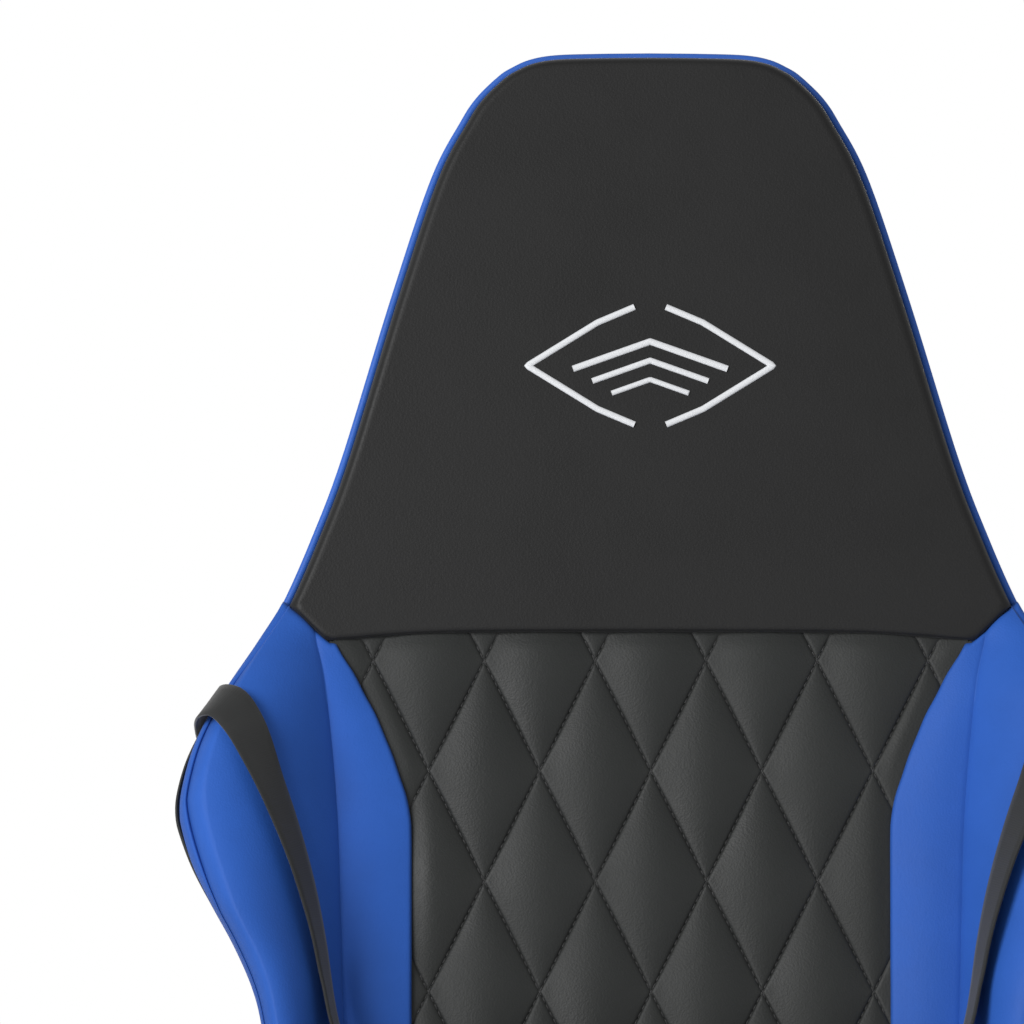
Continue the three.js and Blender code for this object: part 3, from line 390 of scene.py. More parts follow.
def pointing(axis, position):
    """A matrix that stands a Z-up shape along axis at position."""
    turn = Vector((0, 0, 1)).rotation_difference(Vector(axis)).to_matrix().to_4x4()
    return Matrix.Translation(position) @ turn


def several(parts):
    """One set of vertices and faces from several."""
    vertices, faces, start = [], [], 0
    for v, f in parts:
        vertices.append(v)
        faces += [tuple(i + start for i in face) for face in f]
        start += len(v)
    return np.vstack(vertices), faces


def padded_sheet(loop, extra, depth, constraints=()):
    """A closed panel: a lifted front over a loop and inner points, a skirt and a flat underside.

    depth takes points and gives how far each stands in front. Constraints are pairs of rows of
    extra that stay joined by an edge.
    """
    n = len(loop)
    points = np.vstack([loop, extra])
    edges = [(i, (i + 1) % n) for i in range(n)]
    edges += [(n + a, n + b) for a, b in constraints]
    flat = [Vector(p) for p in points]
    out, _, triangles, origin, _, _ = delaunay_2d_cdt(flat, edges, [list(range(n))], 1, 1e-5)
    flat = np.array([tuple(v) for v in out])
    front = depth(flat)
    index = {}
    for i, sources in enumerate(origin):
        for s in sources:
            index[s] = i
    rim = [index[i] for i in range(n)]
    vertices = np.column_stack([flat[:, 0], front, flat[:, 1]])
    under = np.column_stack([loop[:, 0], np.full(n, PANEL_BASE), loop[:, 1]])
    faces = [tuple(t) for t in triangles]
    m = len(vertices)
    faces += [(rim[i], rim[(i + 1) % n], m + (i + 1) % n, m + i) for i in range(n)]
    corners = [[Vector((x, z, 0)) for x, z in loop]]
    faces += [tuple(m + k for k in t) for t in tessellate_polygon(corners)]
    return np.vstack([vertices, under]), faces


def inner_points(loop, rings, grid):
    """Points inside a loop: rings that follow its edge, then an even grid."""
    found = []
    for margin in rings:
        ring = drawn_in(loop, margin)
        found.append(ring[inside(ring, loop) & (distance_to(ring, loop, True) > 0.93 * margin)])
    low, high = loop.min(0), loop.max(0)
    rows = np.arange(low[1], high[1], grid * 0.866)
    for i, z in enumerate(rows):
        x = np.arange(low[0] + (i % 2) * grid / 2, high[0], grid)
        row = np.column_stack([x, np.full(len(x), z)])
        row = row[inside(row, loop)]
        if len(row):
            found.append(row[distance_to(row, loop, True) > rings[-1] + 0.6 * grid])
    return np.vstack(found)


def mirrored(points):
    """A half outline given from the middle outwards or back, and its mirror image, as one loop."""
    right = np.array([(x, BACK_TOP - drop) for x, drop in points])
    left = right[::-1] * (-1, 1)
    return np.vstack([right, left])


def folded_over(points):
    """Points with those left of the middle line mirrored to its right."""
    return np.column_stack([np.abs(points[:, 0]), points[:, 1]])


def heights(points):
    """[across, up] points from a curve given by distances down, drawn smooth."""
    return smooth(points, 8) * (1, -1) + (0, BACK_TOP)


def paint_seam_shade(obj, shades):
    """Stores how much painted shade darkens each vertex near a seam, which the leather reads."""
    layer = obj.data.attributes.new("seam", "FLOAT", "POINT")
    layer.data.foreach_set("value", np.asarray(shades, np.float32))


# ---- Finishes ----
def node(tree, kind, settings=(), links=()):
    """Adds a node, sets its properties and sockets by name, and links sockets to sources."""
    made = tree.nodes.new(kind)
    for key, value in dict(settings).items():
        if isinstance(key, int) or key in made.inputs:
            made.inputs[key].default_value = value
        else:
            setattr(made, key, value)
    for key, source in dict(links).items():
        tree.links.new(source, made.inputs[key])
    return made


def new_finish(name, settings):
    """A material and its shader, or None in place of the tree if it exists already."""
    made = bpy.data.materials.get(name)
    if made:
        return made, None, None
    made = bpy.data.materials.new(name)
    made.use_nodes = True
    tree = made.node_tree
    shader = tree.nodes["Principled BSDF"]
    for key, value in settings.items():
        shader.inputs[key].default_value = value
    return made, tree, shader


def leather(name, base, grain=0.35, sheen=0.12, roughness=0.52, specular=0.42):
    """Synthetic leather: a polyurethane skin on cloth, embossed with a fine pebble.

    The eye sees a soft wide highlight, painted shade darkening it along seams and channels, and a slight
    cloudiness.
    """
    made, tree, shader = new_finish(name, {
        "IOR": 1.46, "Sheen Weight": sheen, "Sheen Roughness": 0.45, "Specular IOR Level": specular,
    })
    if not tree:
        return made
    # Clouds are about 70 mm across, creases 12 mm, and pores four tenths of a pebble.
    where = node(tree, "ShaderNodeTexCoord").outputs["Object"]
    pebble = 1 / sizes().pebble
    cells = node(tree, "ShaderNodeTexVoronoi", {"feature": "SMOOTH_F1", "Scale": pebble}, {"Vector": where})
    pores = node(tree, "ShaderNodeTexNoise", {"Scale": pebble * 2.6, "Detail": 3.0}, {"Vector": where})
    clouds = node(tree, "ShaderNodeTexNoise", {"Scale": 14.0, "Detail": 4.0, "Roughness": 0.55},
                  {"Vector": where})
    creases = node(tree, "ShaderNodeTexNoise", {"Scale": 85.0, "Detail": 2.0, "Distortion": 1.4},
                   {"Vector": where})
    height = node(tree, "ShaderNodeMath", {"operation": "MULTIPLY_ADD", 1: 0.4},
                  {0: pores.outputs["Fac"], 2: cells.outputs["Distance"]})
    both = node(tree, "ShaderNodeMath", {"operation": "MULTIPLY_ADD", 1: 0.8},
                {0: creases.outputs["Fac"], 2: height.outputs[0]})
    bump = node(tree, "ShaderNodeBump", {"Strength": grain, "Distance": 0.0003},
                {"Height": both.outputs[0]})
    tone = node(tree, "ShaderNodeMapRange", {"From Min": 0.3, "From Max": 0.7, "To Min": 0.93,
                                             "To Max": 1.07}, {"Value": clouds.outputs["Fac"]})
    # Painted shade: the seam attribute darkens the colour by up to 45 % along seams and channels, where
    # shade falls.
    seam = node(tree, "ShaderNodeAttribute", {"attribute_name": "seam"})
    deep = node(tree, "ShaderNodeMath", {"operation": "MULTIPLY_ADD", 1: -0.45, 2: 1.0},
                {0: seam.outputs["Fac"]})
    shade = node(tree, "ShaderNodeMath", {"operation": "MULTIPLY"},
                 {0: tone.outputs[0], 1: deep.outputs[0]})
    tint = node(tree, "ShaderNodeMix", {"data_type": "RGBA", "blend_type": "MULTIPLY", "Factor": 1.0,
                                        6: (*base, 1.0)}, {7: shade.outputs[0]})
    matt = node(tree, "ShaderNodeMapRange", {"From Min": 0.3, "From Max": 0.7, "To Min": roughness - 0.05,
                                             "To Max": roughness + 0.07}, {"Value": clouds.outputs["Fac"]})
    tree.links.new(tint.outputs[2], shader.inputs["Base Color"])
    tree.links.new(matt.outputs[0], shader.inputs["Roughness"])
    tree.links.new(bump.outputs["Normal"], shader.inputs["Normal"])
    return made


def black_leather():
    """The cover's black leather, embossed: grey where it catches the light."""
    return leather("black synthetic leather", bpy.context.scene.chair_colours.black)


def head_leather():
    """The head's leather: deeper black and smoother than the quilted one."""
    return leather("black synthetic leather, smooth", bpy.context.scene.chair_colours.head, grain=0.28,
                   specular=0.36)


def blue_leather():
    """The wings' and bolsters' leather, matt: an even strong blue without a hard highlight."""
    return leather("blue synthetic leather", bpy.context.scene.chair_colours.blue, sheen=0.04,
                   roughness=0.6, specular=0.3)


def piping_leather():
    """Thin leather drawn over a cord: a bright line with hardly any grain."""
    return leather("blue piping leather", bpy.context.scene.chair_colours.piping, grain=0.2,
                   sheen=0.04)


def woven(name, base, thread, roughness, spread=0.35):
    """Woven polyester: crossing threads, laid by the piece's UVs in metres. It looks dull and ribbed."""
    made, tree, shader = new_finish(name, {"Sheen Weight": 0.3, "Specular IOR Level": 0.3})
    if not tree:
        return made
    where = node(tree, "ShaderNodeTexCoord").outputs["UV"]
    # The wave texture's bands lie 2 pi / (20 x scale) apart, so a thread is one band wide.
    scale = 2 * math.pi / (20 * thread)
    warp = node(tree, "ShaderNodeTexWave", {"bands_direction": "X", "Scale": scale}, {"Vector": where})
    weft = node(tree, "ShaderNodeTexWave", {"bands_direction": "Y", "Scale": scale * 0.6},
                {"Vector": where})
    weave = node(tree, "ShaderNodeMath", {"operation": "MULTIPLY"},
                 {0: warp.outputs["Fac"], 1: weft.outputs["Fac"]})
    bump = node(tree, "ShaderNodeBump", {"Strength": 0.3, "Distance": 0.0002}, {"Height": weave.outputs[0]})
    fuzz = node(tree, "ShaderNodeTexNoise", {"Scale": 900.0, "Detail": 2.0}, {"Vector": where})
    tone = node(tree, "ShaderNodeMath", {"operation": "MULTIPLY_ADD", 1: spread, 2: 1 - spread / 2},
                {0: weave.outputs[0]})
    worn = node(tree, "ShaderNodeMath", {"operation": "MULTIPLY_ADD", 1: 0.25},
                {0: fuzz.outputs["Fac"], 2: tone.outputs[0]})
    tint = node(tree, "ShaderNodeMix", {"data_type": "RGBA", "blend_type": "MULTIPLY", "Factor": 1.0,
                                        6: (*base, 1.0)}, {7: worn.outputs[0]})
    shader.inputs["Roughness"].default_value = roughness
    tree.links.new(tint.outputs[2], shader.inputs["Base Color"])
    tree.links.new(bump.outputs["Normal"], shader.inputs["Normal"])
    return made


def webbing():
    """Polyester webbing of 0.8 mm threads: charcoal, dull and faintly ribbed."""
    return woven("woven polyester webbing", bpy.context.scene.chair_colours.webbing, 0.0008, 0.7, 0.2)


def thread(name, base):
    """Polyester sewing thread: twisted, so it glints along its length."""
    made, tree, shader = new_finish(name, {"Sheen Weight": 0.4, "Specular IOR Level": 0.5,
                                           "Roughness": 0.45})
    if not tree:
        return made
    # The twist repeats about every 0.7 mm.
    where = node(tree, "ShaderNodeTexCoord").outputs["Object"]
    twist = node(tree, "ShaderNodeTexNoise", {"Scale": 1400.0, "Detail": 1.0}, {"Vector": where})
    bump = node(tree, "ShaderNodeBump", {"Strength": 0.4, "Distance": 0.0002},
                {"Height": twist.outputs["Fac"]})
    tone = node(tree, "ShaderNodeMapRange", {"To Min": 0.82, "To Max": 1.08},
                {"Value": twist.outputs["Fac"]})
    tint = node(tree, "ShaderNodeMix", {"data_type": "RGBA", "blend_type": "MULTIPLY", "Factor": 1.0,
                                        6: (*base, 1.0)}, {7: tone.outputs[0]})
    tree.links.new(tint.outputs[2], shader.inputs["Base Color"])
    tree.links.new(bump.outputs["Normal"], shader.inputs["Normal"])
    return made


def white_thread():
    """Embroidery thread laid close in satin stitch: almost white, with a silky glint."""
    return thread("white embroidery thread", bpy.context.scene.chair_colours.thread)


def black_thread():
    """Bonded sewing thread: as black as the leather, told from it by its glint."""
    return thread("black sewing thread", linear("#1a1a1b"))


def textured(name, base, roughness, grain_mm, strength, metallic=0.0, stretch=(1, 1, 1), mottle=0.08,
             **extra):
    """A skin with a grain of a real size, and a little unevenness in tone and gloss.

    The unevenness is in clouds about 45 mm across.
    """
    made, tree, shader = new_finish(name, {"Metallic": metallic, **extra})
    if not tree:
        return made
    where = node(tree, "ShaderNodeTexCoord").outputs["Object"]
    laid = node(tree, "ShaderNodeMapping", {"Scale": stretch}, {"Vector": where})
    grain = node(tree, "ShaderNodeTexNoise", {"Scale": 1000 / grain_mm, "Detail": 2.0},
                 {"Vector": laid.outputs[0]})
    clouds = node(tree, "ShaderNodeTexNoise", {"Scale": 22.0, "Detail": 4.0}, {"Vector": where})
    bump = node(tree, "ShaderNodeBump", {"Strength": strength, "Distance": grain_mm / 5000},
                {"Height": grain.outputs["Fac"]})
    tone = node(tree, "ShaderNodeMapRange", {"From Min": 0.3, "From Max": 0.7, "To Min": 1 - mottle,
                                             "To Max": 1 + mottle}, {"Value": clouds.outputs["Fac"]})
    tint = node(tree, "ShaderNodeMix", {"data_type": "RGBA", "blend_type": "MULTIPLY", "Factor": 1.0,
                                        6: (*base, 1.0)}, {7: tone.outputs[0]})
    matt = node(tree, "ShaderNodeMapRange", {"To Min": roughness - 0.07, "To Max": roughness + 0.07},
                {"Value": grain.outputs["Fac"]})
    tree.links.new(tint.outputs[2], shader.inputs["Base Color"])
    tree.links.new(matt.outputs[0], shader.inputs["Roughness"])
    tree.links.new(bump.outputs["Normal"], shader.inputs["Normal"])
    return made


def moulded_nylon():
    """Glass-filled nylon, injection moulded with a spark-eroded texture: satin, faintly grainy."""
    return textured("moulded glass-filled nylon", bpy.context.scene.chair_colours.nylon, 0.48, 0.9, 0.35)


def smooth_nylon():
    """The same nylon from a polished mould: a clearer highlight."""
    return textured("polished glass-filled nylon", bpy.context.scene.chair_colours.nylon, 0.3, 1.6, 0.12)


def drawn_steel():
    """Bright steel, ground and drawn lengthwise: a sharp highlight with fine lines."""
    return textured("drawn bright steel", bpy.context.scene.chair_colours.steel, 0.24, 0.5, 0.12,
                    metallic=1.0, stretch=(1, 1, 0.05))


def powder_coat():
    """Polyester powder coat on steel: satin with the dimples of orange peel."""
    return textured("black powder coat", bpy.context.scene.chair_colours.powder, 0.4, 1.4, 0.25)


def zinc_plate():
    """Zinc-plated steel of screws: pale and slightly cloudy."""
    return textured("zinc plated steel", bpy.context.scene.chair_colours.zinc, 0.32, 0.7, 0.15,
                    metallic=1.0, mottle=0.15)


def wheel_tread():
    """Cast polyurethane of the treads: matt and faintly dusty."""
    return textured("polyurethane tread", bpy.context.scene.chair_colours.tread, 0.62, 0.8, 0.3, mottle=0.2)


def soft_skin():
    """Integral-skin polyurethane foam of the arm pads: matt with a fine leather-like grain."""
    return textured("polyurethane arm pad skin", bpy.context.scene.chair_colours.nylon, 0.6, 1.1, 0.5)


def birch_plywood():
    """Birch plywood, sanded: thin dark glue lines between plies on its edge, long grain on its face."""
    made, tree, shader = new_finish("birch plywood", {"Roughness": 0.55, "Specular IOR Level": 0.35})
    if not tree:
        return made
    birch = bpy.context.scene.chair_colours.birch
    # Plies are 1.4 mm thick, and the grain's lines are 11 mm apart and 140 mm long.
    where = node(tree, "ShaderNodeTexCoord").outputs["Object"]
    stretched = node(tree, "ShaderNodeMapping", {"Scale": (90, 7, 700)}, {"Vector": where})
    figure = node(tree, "ShaderNodeTexNoise", {"Scale": 1.0, "Detail": 5.0, "Distortion": 0.6},
                  {"Vector": stretched.outputs[0]})
    ramp = node(tree, "ShaderNodeValToRGB", links={"Fac": figure.outputs["Fac"]})
    ramp.color_ramp.elements[0].position = 0.32
    ramp.color_ramp.elements[0].color = (*[c * 0.55 for c in birch], 1)
    ramp.color_ramp.elements[1].position = 0.62
    ramp.color_ramp.elements[1].color = (*birch, 1)
    bump = node(tree, "ShaderNodeBump", {"Strength": 0.2, "Distance": 0.0003},
                {"Height": figure.outputs["Fac"]})
    tree.links.new(ramp.outputs["Color"], shader.inputs["Base Color"])
    tree.links.new(bump.outputs["Normal"], shader.inputs["Normal"])
    return made


# ---- Head and quilted panels ----
def head_loop():
    """The head panel's outline."""
    edge = np.array([(outline_half(d), d) for d in np.linspace(12, 322.5, 90)])
    top = smooth(OUTLINE[:5], 8)
    right = np.vstack([top, edge])
    seam = smooth(HEAD_SEAM, 8)
    shoulder = smooth(SHOULDER_SEAM[:-1][::-1], 8)
    shoulder = shoulder[shoulder[:, 0] > HEAD_SEAM[0][0]]
    points = np.vstack([right, shoulder, seam])
    return anticlockwise(spaced(mirrored(points), 3.2, closed=True))


def outer_line():
    """The outline's right side and its mirror image, down to the shoulder seam."""
    top = smooth(OUTLINE[:5], 8)
    edge = np.array([(outline_half(d), d) for d in np.linspace(12, 321, 90)])
    right = np.vstack([top, edge]) * (1, -1) + (0, BACK_TOP)
    return np.vstack([(right * (-1, 1))[::-1], right])


def head_front(points):
    """How far the head panel stands in front."""
    drop = BACK_TOP - points[:, 1]
    from_rim = distance_to(points, outer_line()) - 2 * PIPING + 0.3
    joined = np.vstack([heights(HEAD_SEAM)[::-1], heights(SHOULDER_SEAM[1:])])
    side = folded_over(points)
    from_seam = distance_to(side, joined)
    crown = 2.5 * (1 - (points[:, 0] / 210) ** 2) + 2.5 * eased(drop, 330, 180) * eased(drop, 0, 120)
    return HEAD_FRONT + crown - rolled(np.maximum(from_rim, 0), 5.5, 13) - rolled(from_seam, 3, 2)


def painted_channel_shade(near):
    """How much painted shade darkens the leather at a distance from a sewn channel: a thin line in a soft
    hollow.
    """
    return 0.3 * np.exp(-(near / 8) ** 2) + 0.7 * np.exp(-(near / 0.8) ** 2)


def diamond():
    """A quilted diamond's width and height in millimetres."""
    return sizes().quilt_across * 1000, sizes().quilt_tall * 1000


def quilt_rise(x, z):
    """The height of sewn diamonds over their channels, and the distance to the nearest channel."""
    across, tall = diamond()
    a, b = x / across + z / tall, x / across - z / tall
    # How far each point lies from the nearest channel of either run, 0 to 1.
    da, db = 2 * np.abs(a - np.round(a)), 2 * np.abs(b - np.round(b))
    half_gap = 0.5 / math.hypot(1 / across, 1 / tall)
    full = ((1 - (1 - da) ** 2.1) * (1 - (1 - db) ** 2.1)) ** 0.85
    near = np.minimum(da, db) * half_gap
    groove = 0.8 * np.exp(-(near / 0.6) ** 2)
    return sizes().quilt_rise * 1000 * full - groove, near


def quilt_front(points):
    """How far the quilted panel stands in front.

    It lies flatter where it runs under its neighbours.
    """
    side = folded_over(points)
    from_edge = np.minimum(distance_to(side, heights(HEAD_SEAM)), distance_to(side, heights(QUILT_EDGE)))
    from_edge = np.where(inside(points, quilt_loop()), from_edge, 0)
    rise, _ = quilt_rise(points[:, 0], points[:, 1] - QUILT_ORIGIN)
    front = QUILT_FRONT + rise * (0.4 + 0.6 * eased(from_edge, 0, 9))
    return front - rolled(points[:, 1] - BACK_BOTTOM, 16, 20)


def quilt_loop():
    """The quilted panel's visible outline."""
    seam = smooth(HEAD_SEAM, 8)[::-1]
    side = smooth(QUILT_EDGE, 8)
    points = np.vstack([seam, side, [(0, BACK_DROP)]])
    return anticlockwise(spaced(mirrored(points), 3.0, closed=True))


def quilt_grid(loop):
    """Points along and between the channels, and the pairs of them on lines beside a channel."""
    across, tall = diamond()
    offsets = sorted(set(QUILT_STEPS) | {round(1 - t, 4) for t in QUILT_STEPS if t})
    far_across, far_up = np.abs(loop - (0, QUILT_ORIGIN)).max(0)
    reach = int(max(far_across / across, far_up / tall) * 2) + 2
    lines = np.array([i + t for i in range(-reach, reach) for t in offsets])
    a, b = np.meshgrid(lines, lines, indexing="ij")
    heights_up = (tall * (a - b) / 2).ravel() + QUILT_ORIGIN
    points = np.column_stack([(across * (a + b) / 2).ravel(), heights_up])
    low, high = loop.min(0), loop.max(0)
    near = np.all((points > low) & (points < high), axis=1)
    kept = np.full(len(points), -1)
    chosen = np.flatnonzero(near)
    good = inside(points[chosen], loop) & (distance_to(points[chosen], loop, True) > 1.2)
    chosen = chosen[good]
    kept[chosen] = np.arange(len(chosen))
    kept = kept.reshape(a.shape)
    beside = np.abs(lines - np.round(lines)) < CHANNEL_SIDE
    pairs = []
    for i in np.flatnonzero(beside):
        for j in range(len(lines) - 1):
            pairs.append((kept[i, j], kept[i, j + 1]))
            pairs.append((kept[j, i], kept[j + 1, i]))
    return points[chosen], [(p, q) for p, q in pairs if p >= 0 and q >= 0]


def make_head_panel():
    """The padded head panel, drawn in from the rim to leave room for the piping."""
    loop = head_loop()
    on_rim = distance_to(loop, outer_line()) < 0.4
    loop = np.where(on_rim[:, None], drawn_in(loop, 2 * PIPING - 0.3), loop)
    extra = inner_points(loop, (0.5, 1.1, 1.9, 2.9, 4.1, 5.5, 7.2, 9.5, 13, 17), 5.0)
    vertices, faces = padded_sheet(loop, extra, head_front)
    piece("head_panel", in_row_frame(vertices), faces, head_leather, "back",
          replaces=["head_pad"])


def make_quilted_panel():
    """The quilted panel, which runs a little under its neighbours."""
    loop = drawn_in(quilt_loop(), -TUCK)
    loop[:, 1] = np.maximum(loop[:, 1], BACK_BOTTOM)
    extra, channels = quilt_grid(loop)
    vertices, faces = padded_sheet(loop, extra, quilt_front, constraints=channels)
    obj = piece("quilted_panel", in_row_frame(vertices), faces, black_leather, "back",
                replaces=["quilted_pad"])
    # Painted shade along the channels, darkest in their creases.
    local = np.array([v.co for v in obj.data.vertices])
    up = ((local[:, 1] - HINGE.y) * math.sin(LEAN) + (local[:, 2] - HINGE.z) * math.cos(LEAN)) * 1000
    _, near = quilt_rise(local[:, 0] * 1000, up - QUILT_ORIGIN)
    paint_seam_shade(obj, painted_channel_shade(near))


# ---- Wings ----
def wing_knots(drop):
    """Across positions of the wing's seams and edges at a distance down."""
    tuck = 3.6 * np.exp(-((drop - 432) / 46) ** 2)
    rim = outline_half(drop) - 0.3 - tuck
    band = 4.6 - 2.8 * eased(drop, 440, 510)
    crease = np.minimum(crease_half(drop), rim - band)
    ridge = np.minimum(ridge_half(drop), crease - 1.5)
    return [quilt_half(drop), fold_half(drop), ridge, crease, rim, rim - WALL_LEAN]


def wing_fronts(drop):
    """How far forward those seams and edges stand."""
    grown = eased(drop, 318, 400)
    ridge = ridge_front(drop)
    crease = ridge - 2 - 12 * grown
    rim = crease - 3 - 15 * grown
    fold = 36 + 6 * eased(drop, 334, 380)
    return fold, ridge, crease, rim


def wing_at(stretch, t, drop):
    """The wing's surface: across and front, on one stretch between two seams."""
    knots = wing_knots(drop)
    x = knots[stretch] * (1 - t) + knots[stretch + 1] * t
    fold, ridge, crease, rim = wing_fronts(drop)
    seam = sizes().seam_depth * 1000
    if stretch == 0:
        span = knots[1] - knots[0]
        front = WING_FRONT + (fold - WING_FRONT) * t + 2.0 * np.sin(math.pi * t) * eased(span, 5, 35)
        front -= rolled(t * span, 2.2, 2)
        front -= 0.12 * seam * np.exp(-(((1 - t) * span) / 1.2) ** 2)
    elif stretch == 1:
        span = knots[2] - knots[1]
        front = fold + (ridge - fold) * np.sin(math.pi / 2 * t ** 0.92)
        front -= 0.12 * seam * np.exp(-((t * span) / 1.2) ** 2)
    elif stretch == 2:
        span = knots[3] - knots[2]
        front = ridge - (ridge - crease) * t ** 2
        front -= 0.45 * seam * eased(drop, 345, 400) * np.exp(-(((1 - t) * span) / 1.5) ** 2)
    elif stretch == 3:
        span = knots[4] - knots[3]
        bulge = 1.4 * eased(drop, 345, 400) * np.sin(math.pi * t ** 0.7)
        front = crease + bulge - (crease - rim) * (1 - np.sqrt(1 - t ** 2))
        front -= 0.45 * seam * eased(drop, 345, 400) * np.exp(-((t * span) / 1.5) ** 2)
    else:
        front = rim - (rim - PANEL_BASE) * t
    return x, front


def wing_top(stretch, t):
    """How far down the shoulder seam crosses this line of the wing."""
    seam = smooth(SHOULDER_SEAM, 8)
    drop = 334.0
    for _ in range(12):
        x, _front = wing_at(stretch, t, drop)
        drop = float(np.interp(x, seam[:, 0], seam[:, 1]))
    return drop


def make_wing(side, name):
    """A wing's cover: lines of points between its seams, over a flat underside."""
    lines = [(k, t) for k in range(4) for t in WING_STEPS]
    lines += [(4, t) for t in (0, 0.04, 0.1, 0.2, 0.35, 0.5, 0.65, 0.8, 0.92, 1.0)]
    v = np.concatenate([np.linspace(0, 0.04, 14)[:-1], np.linspace(0.04, 0.965, 130),
                        np.linspace(0.965, 1, 10)[1:]])
    columns, seams = [], []
    for stretch, t in lines:
        start = wing_top(stretch, t)
        drop = start + (BACK_DROP - start) * v
        x, front = wing_at(stretch, t, drop)
        lift = 1 if stretch < 4 else 1 - t
        front = front - lift * (rolled(drop - start, 5, 4) + rolled(BACK_DROP - drop, 16, 24))
        columns.append(np.column_stack([side * x, np.maximum(front, PANEL_BASE), BACK_TOP - drop]))
        # Painted shade: the leather is darkened along the seam with the quilted panel, along the fold and
        # along the crease.
        knots = wing_knots(drop)
        edge = np.minimum(np.abs(x - knots[0]), drop - start)
        dark = 0.5 * np.exp(-(edge / 1.2) ** 2) + 0.16 * np.exp(-((x - knots[1]) / 1.3) ** 2)
        dark += 0.42 * eased(drop, 345, 400) * np.exp(-((x - knots[3]) / 1.3) ** 2)
        seams.append(np.minimum(dark, 0.6) if stretch < 4 else 0 * drop)
    top = np.array(columns)
    rows, count = top.shape[1], len(lines)
    grid = top.transpose(1, 0, 2).reshape(-1, 3)
    faces = quads(rows, count)
    under = []
    for r in range(rows):
        inner, outer = grid[r * count], grid[r * count + count - 1]
        for k in np.linspace(0, 1, 5):
            p = inner * (1 - k) + outer * k
            under.append((p[0], PANEL_BASE, p[2]))
    start = len(grid)
    faces += quads(rows, 5, start=start)
    for r in range(rows - 1):
        a, b = r * count, (r + 1) * count
        c, d = start + r * 5, start + (r + 1) * 5
        faces += [(a, b, d, c), (a + count - 1, b + count - 1, d + 4, c + 4)]
    for r in (0, rows - 1):
        along, back = range(r * count, (r + 1) * count), range(start + r * 5 + 4, start + r * 5 - 1, -1)
        faces.append((*along, *back))
    vertices = np.vstack([grid, under])
    obj = piece(f"{name}_cover", in_row_frame(vertices), faces, blue_leather, "back",
                replaces=[name], sharp=60)
    spread = np.array(seams).T.ravel()
    if len(obj.data.vertices) != len(vertices):
        near = in_row_frame(vertices)[:start]
        spread = nearest_values(obj, near, spread)
    else:
        spread = np.concatenate([spread, np.zeros(len(under))])
    paint_seam_shade(obj, spread)


def nearest_values(obj, points, values):
    """Values given at points, read at the vertices of an object."""
    tree = KDTree(len(points))
    for i, p in enumerate(points):
        tree.insert(p, i)
    tree.balance()
    return np.array([values[tree.find(v.co)[1]] for v in obj.data.vertices])


# ---- Rear cover ----
def cover_edge(drop, bottom):
    """How far forward the rear cover reaches round the side."""
    _, _, _, rim = wing_fronts(drop)
    wing = np.maximum(rim - 9, 12)
    side = 12 + (wing - 12) * eased(drop, 322, 372)
    return side * (1 - bottom) + 16 * bottom


def long_seam(drop):
    """How far from the middle each of the rear's two long seams runs."""
    return outline_half(np.maximum(drop, 12)) * 0.52


def yoke_seam(across):
    """How far down the rear's yoke seam runs."""
    return 250 + 18 * np.cos(across / 60)


def rear_back(points):
    """The rear cover's back, with two long seams and a yoke seam."""
    drop = BACK_TOP - points[:, 1]
    from_long = np.abs(points[:, 0]) - long_seam(drop)
    from_yoke = drop - yoke_seam(points[:, 0])
    crown = 3.0 * (1 - (points[:, 0] / 280) ** 2)
    seam = 2.2 * np.exp(-(from_long / 2.0) ** 2) * (drop > 20) + 2.2 * np.exp(-(from_yoke / 2.0) ** 2)
    return -(SHELL_BACK + crown - seam)


def make_rear_cover():
    """The rear cover: it reaches round the side, and its back has sewn seams."""
    half = np.vstack([smooth(OUTLINE, 8), [(0, BACK_DROP)]])
    loop = anticlockwise(spaced(mirrored(half), 3.5, closed=True))
    drop = BACK_TOP - loop[:, 1]
    bottom = eased(loop[:, 1], BACK_BOTTOM + 30, BACK_BOTTOM + 2)
    front = cover_edge(drop, bottom)
    inset = (1.3 - 0.5 * np.exp(-((drop - 430) / 50) ** 2)) * eased(drop, 300, 330)
    loop = loop - np.column_stack([np.sign(loop[:, 0]) * inset, 0 * inset])
    rings = [(1.0, front - 6), (3.0, front - 2), (1.2, front + 0.4), (0.2, front - 1.0), (0, front - 3.5)]
    taper = 5 + 9 * eased(drop, 440, 520) * (1 - bottom)
    for k, lean in ((0.15, 0.06), (0.35, 0.24), (0.55, 0.46), (0.8, 0.76), (1.0, 1.0)):
        rings.append((taper * lean, front * (1 - k) - (SHELL_BACK - 12) * k))
    for margin, short in ((1.6, 7), (4, 3.6), (7.5, 1.4), (11.5, 0.4)):
        rings.append((taper + margin, -(SHELL_BACK - short) + 0 * drop))
    vertices = []
    for margin, y in rings:
        ring = drawn_in(loop, margin)
        vertices.append(np.column_stack([ring[:, 0], y, ring[:, 1]]))
    n = len(loop)
    faces = quads(len(rings), n, closed_columns=True)
    edge = drawn_in(loop, taper + 15.5)
    extra = inner_points(edge, (4, 9), 6.0)
    flat = [Vector(p) for p in np.vstack([edge, extra])]
    out, _, triangles, origin, _, _ = delaunay_2d_cdt(
        flat, [(i, (i + 1) % n) for i in range(n)], [list(range(n))], 1, 1e-5)
    back = np.array([tuple(v) for v in out])
    index = {s: i for i, sources in enumerate(origin) for s in sources}
    depth = rear_back(back)
    start = len(rings) * n
    vertices.append(np.column_stack([back[:, 0], depth, back[:, 1]]))
    faces += [tuple(start + k for k in t) for t in triangles]
    last = (len(rings) - 1) * n
    for i in range(n):
        j = (i + 1) % n
        faces.append((last + i, last + j, start + index[j], start + index[i]))
    piece("rear_cover", in_row_frame(np.vstack(vertices)), faces, black_leather,
          "back", replaces=["rear_shell"])


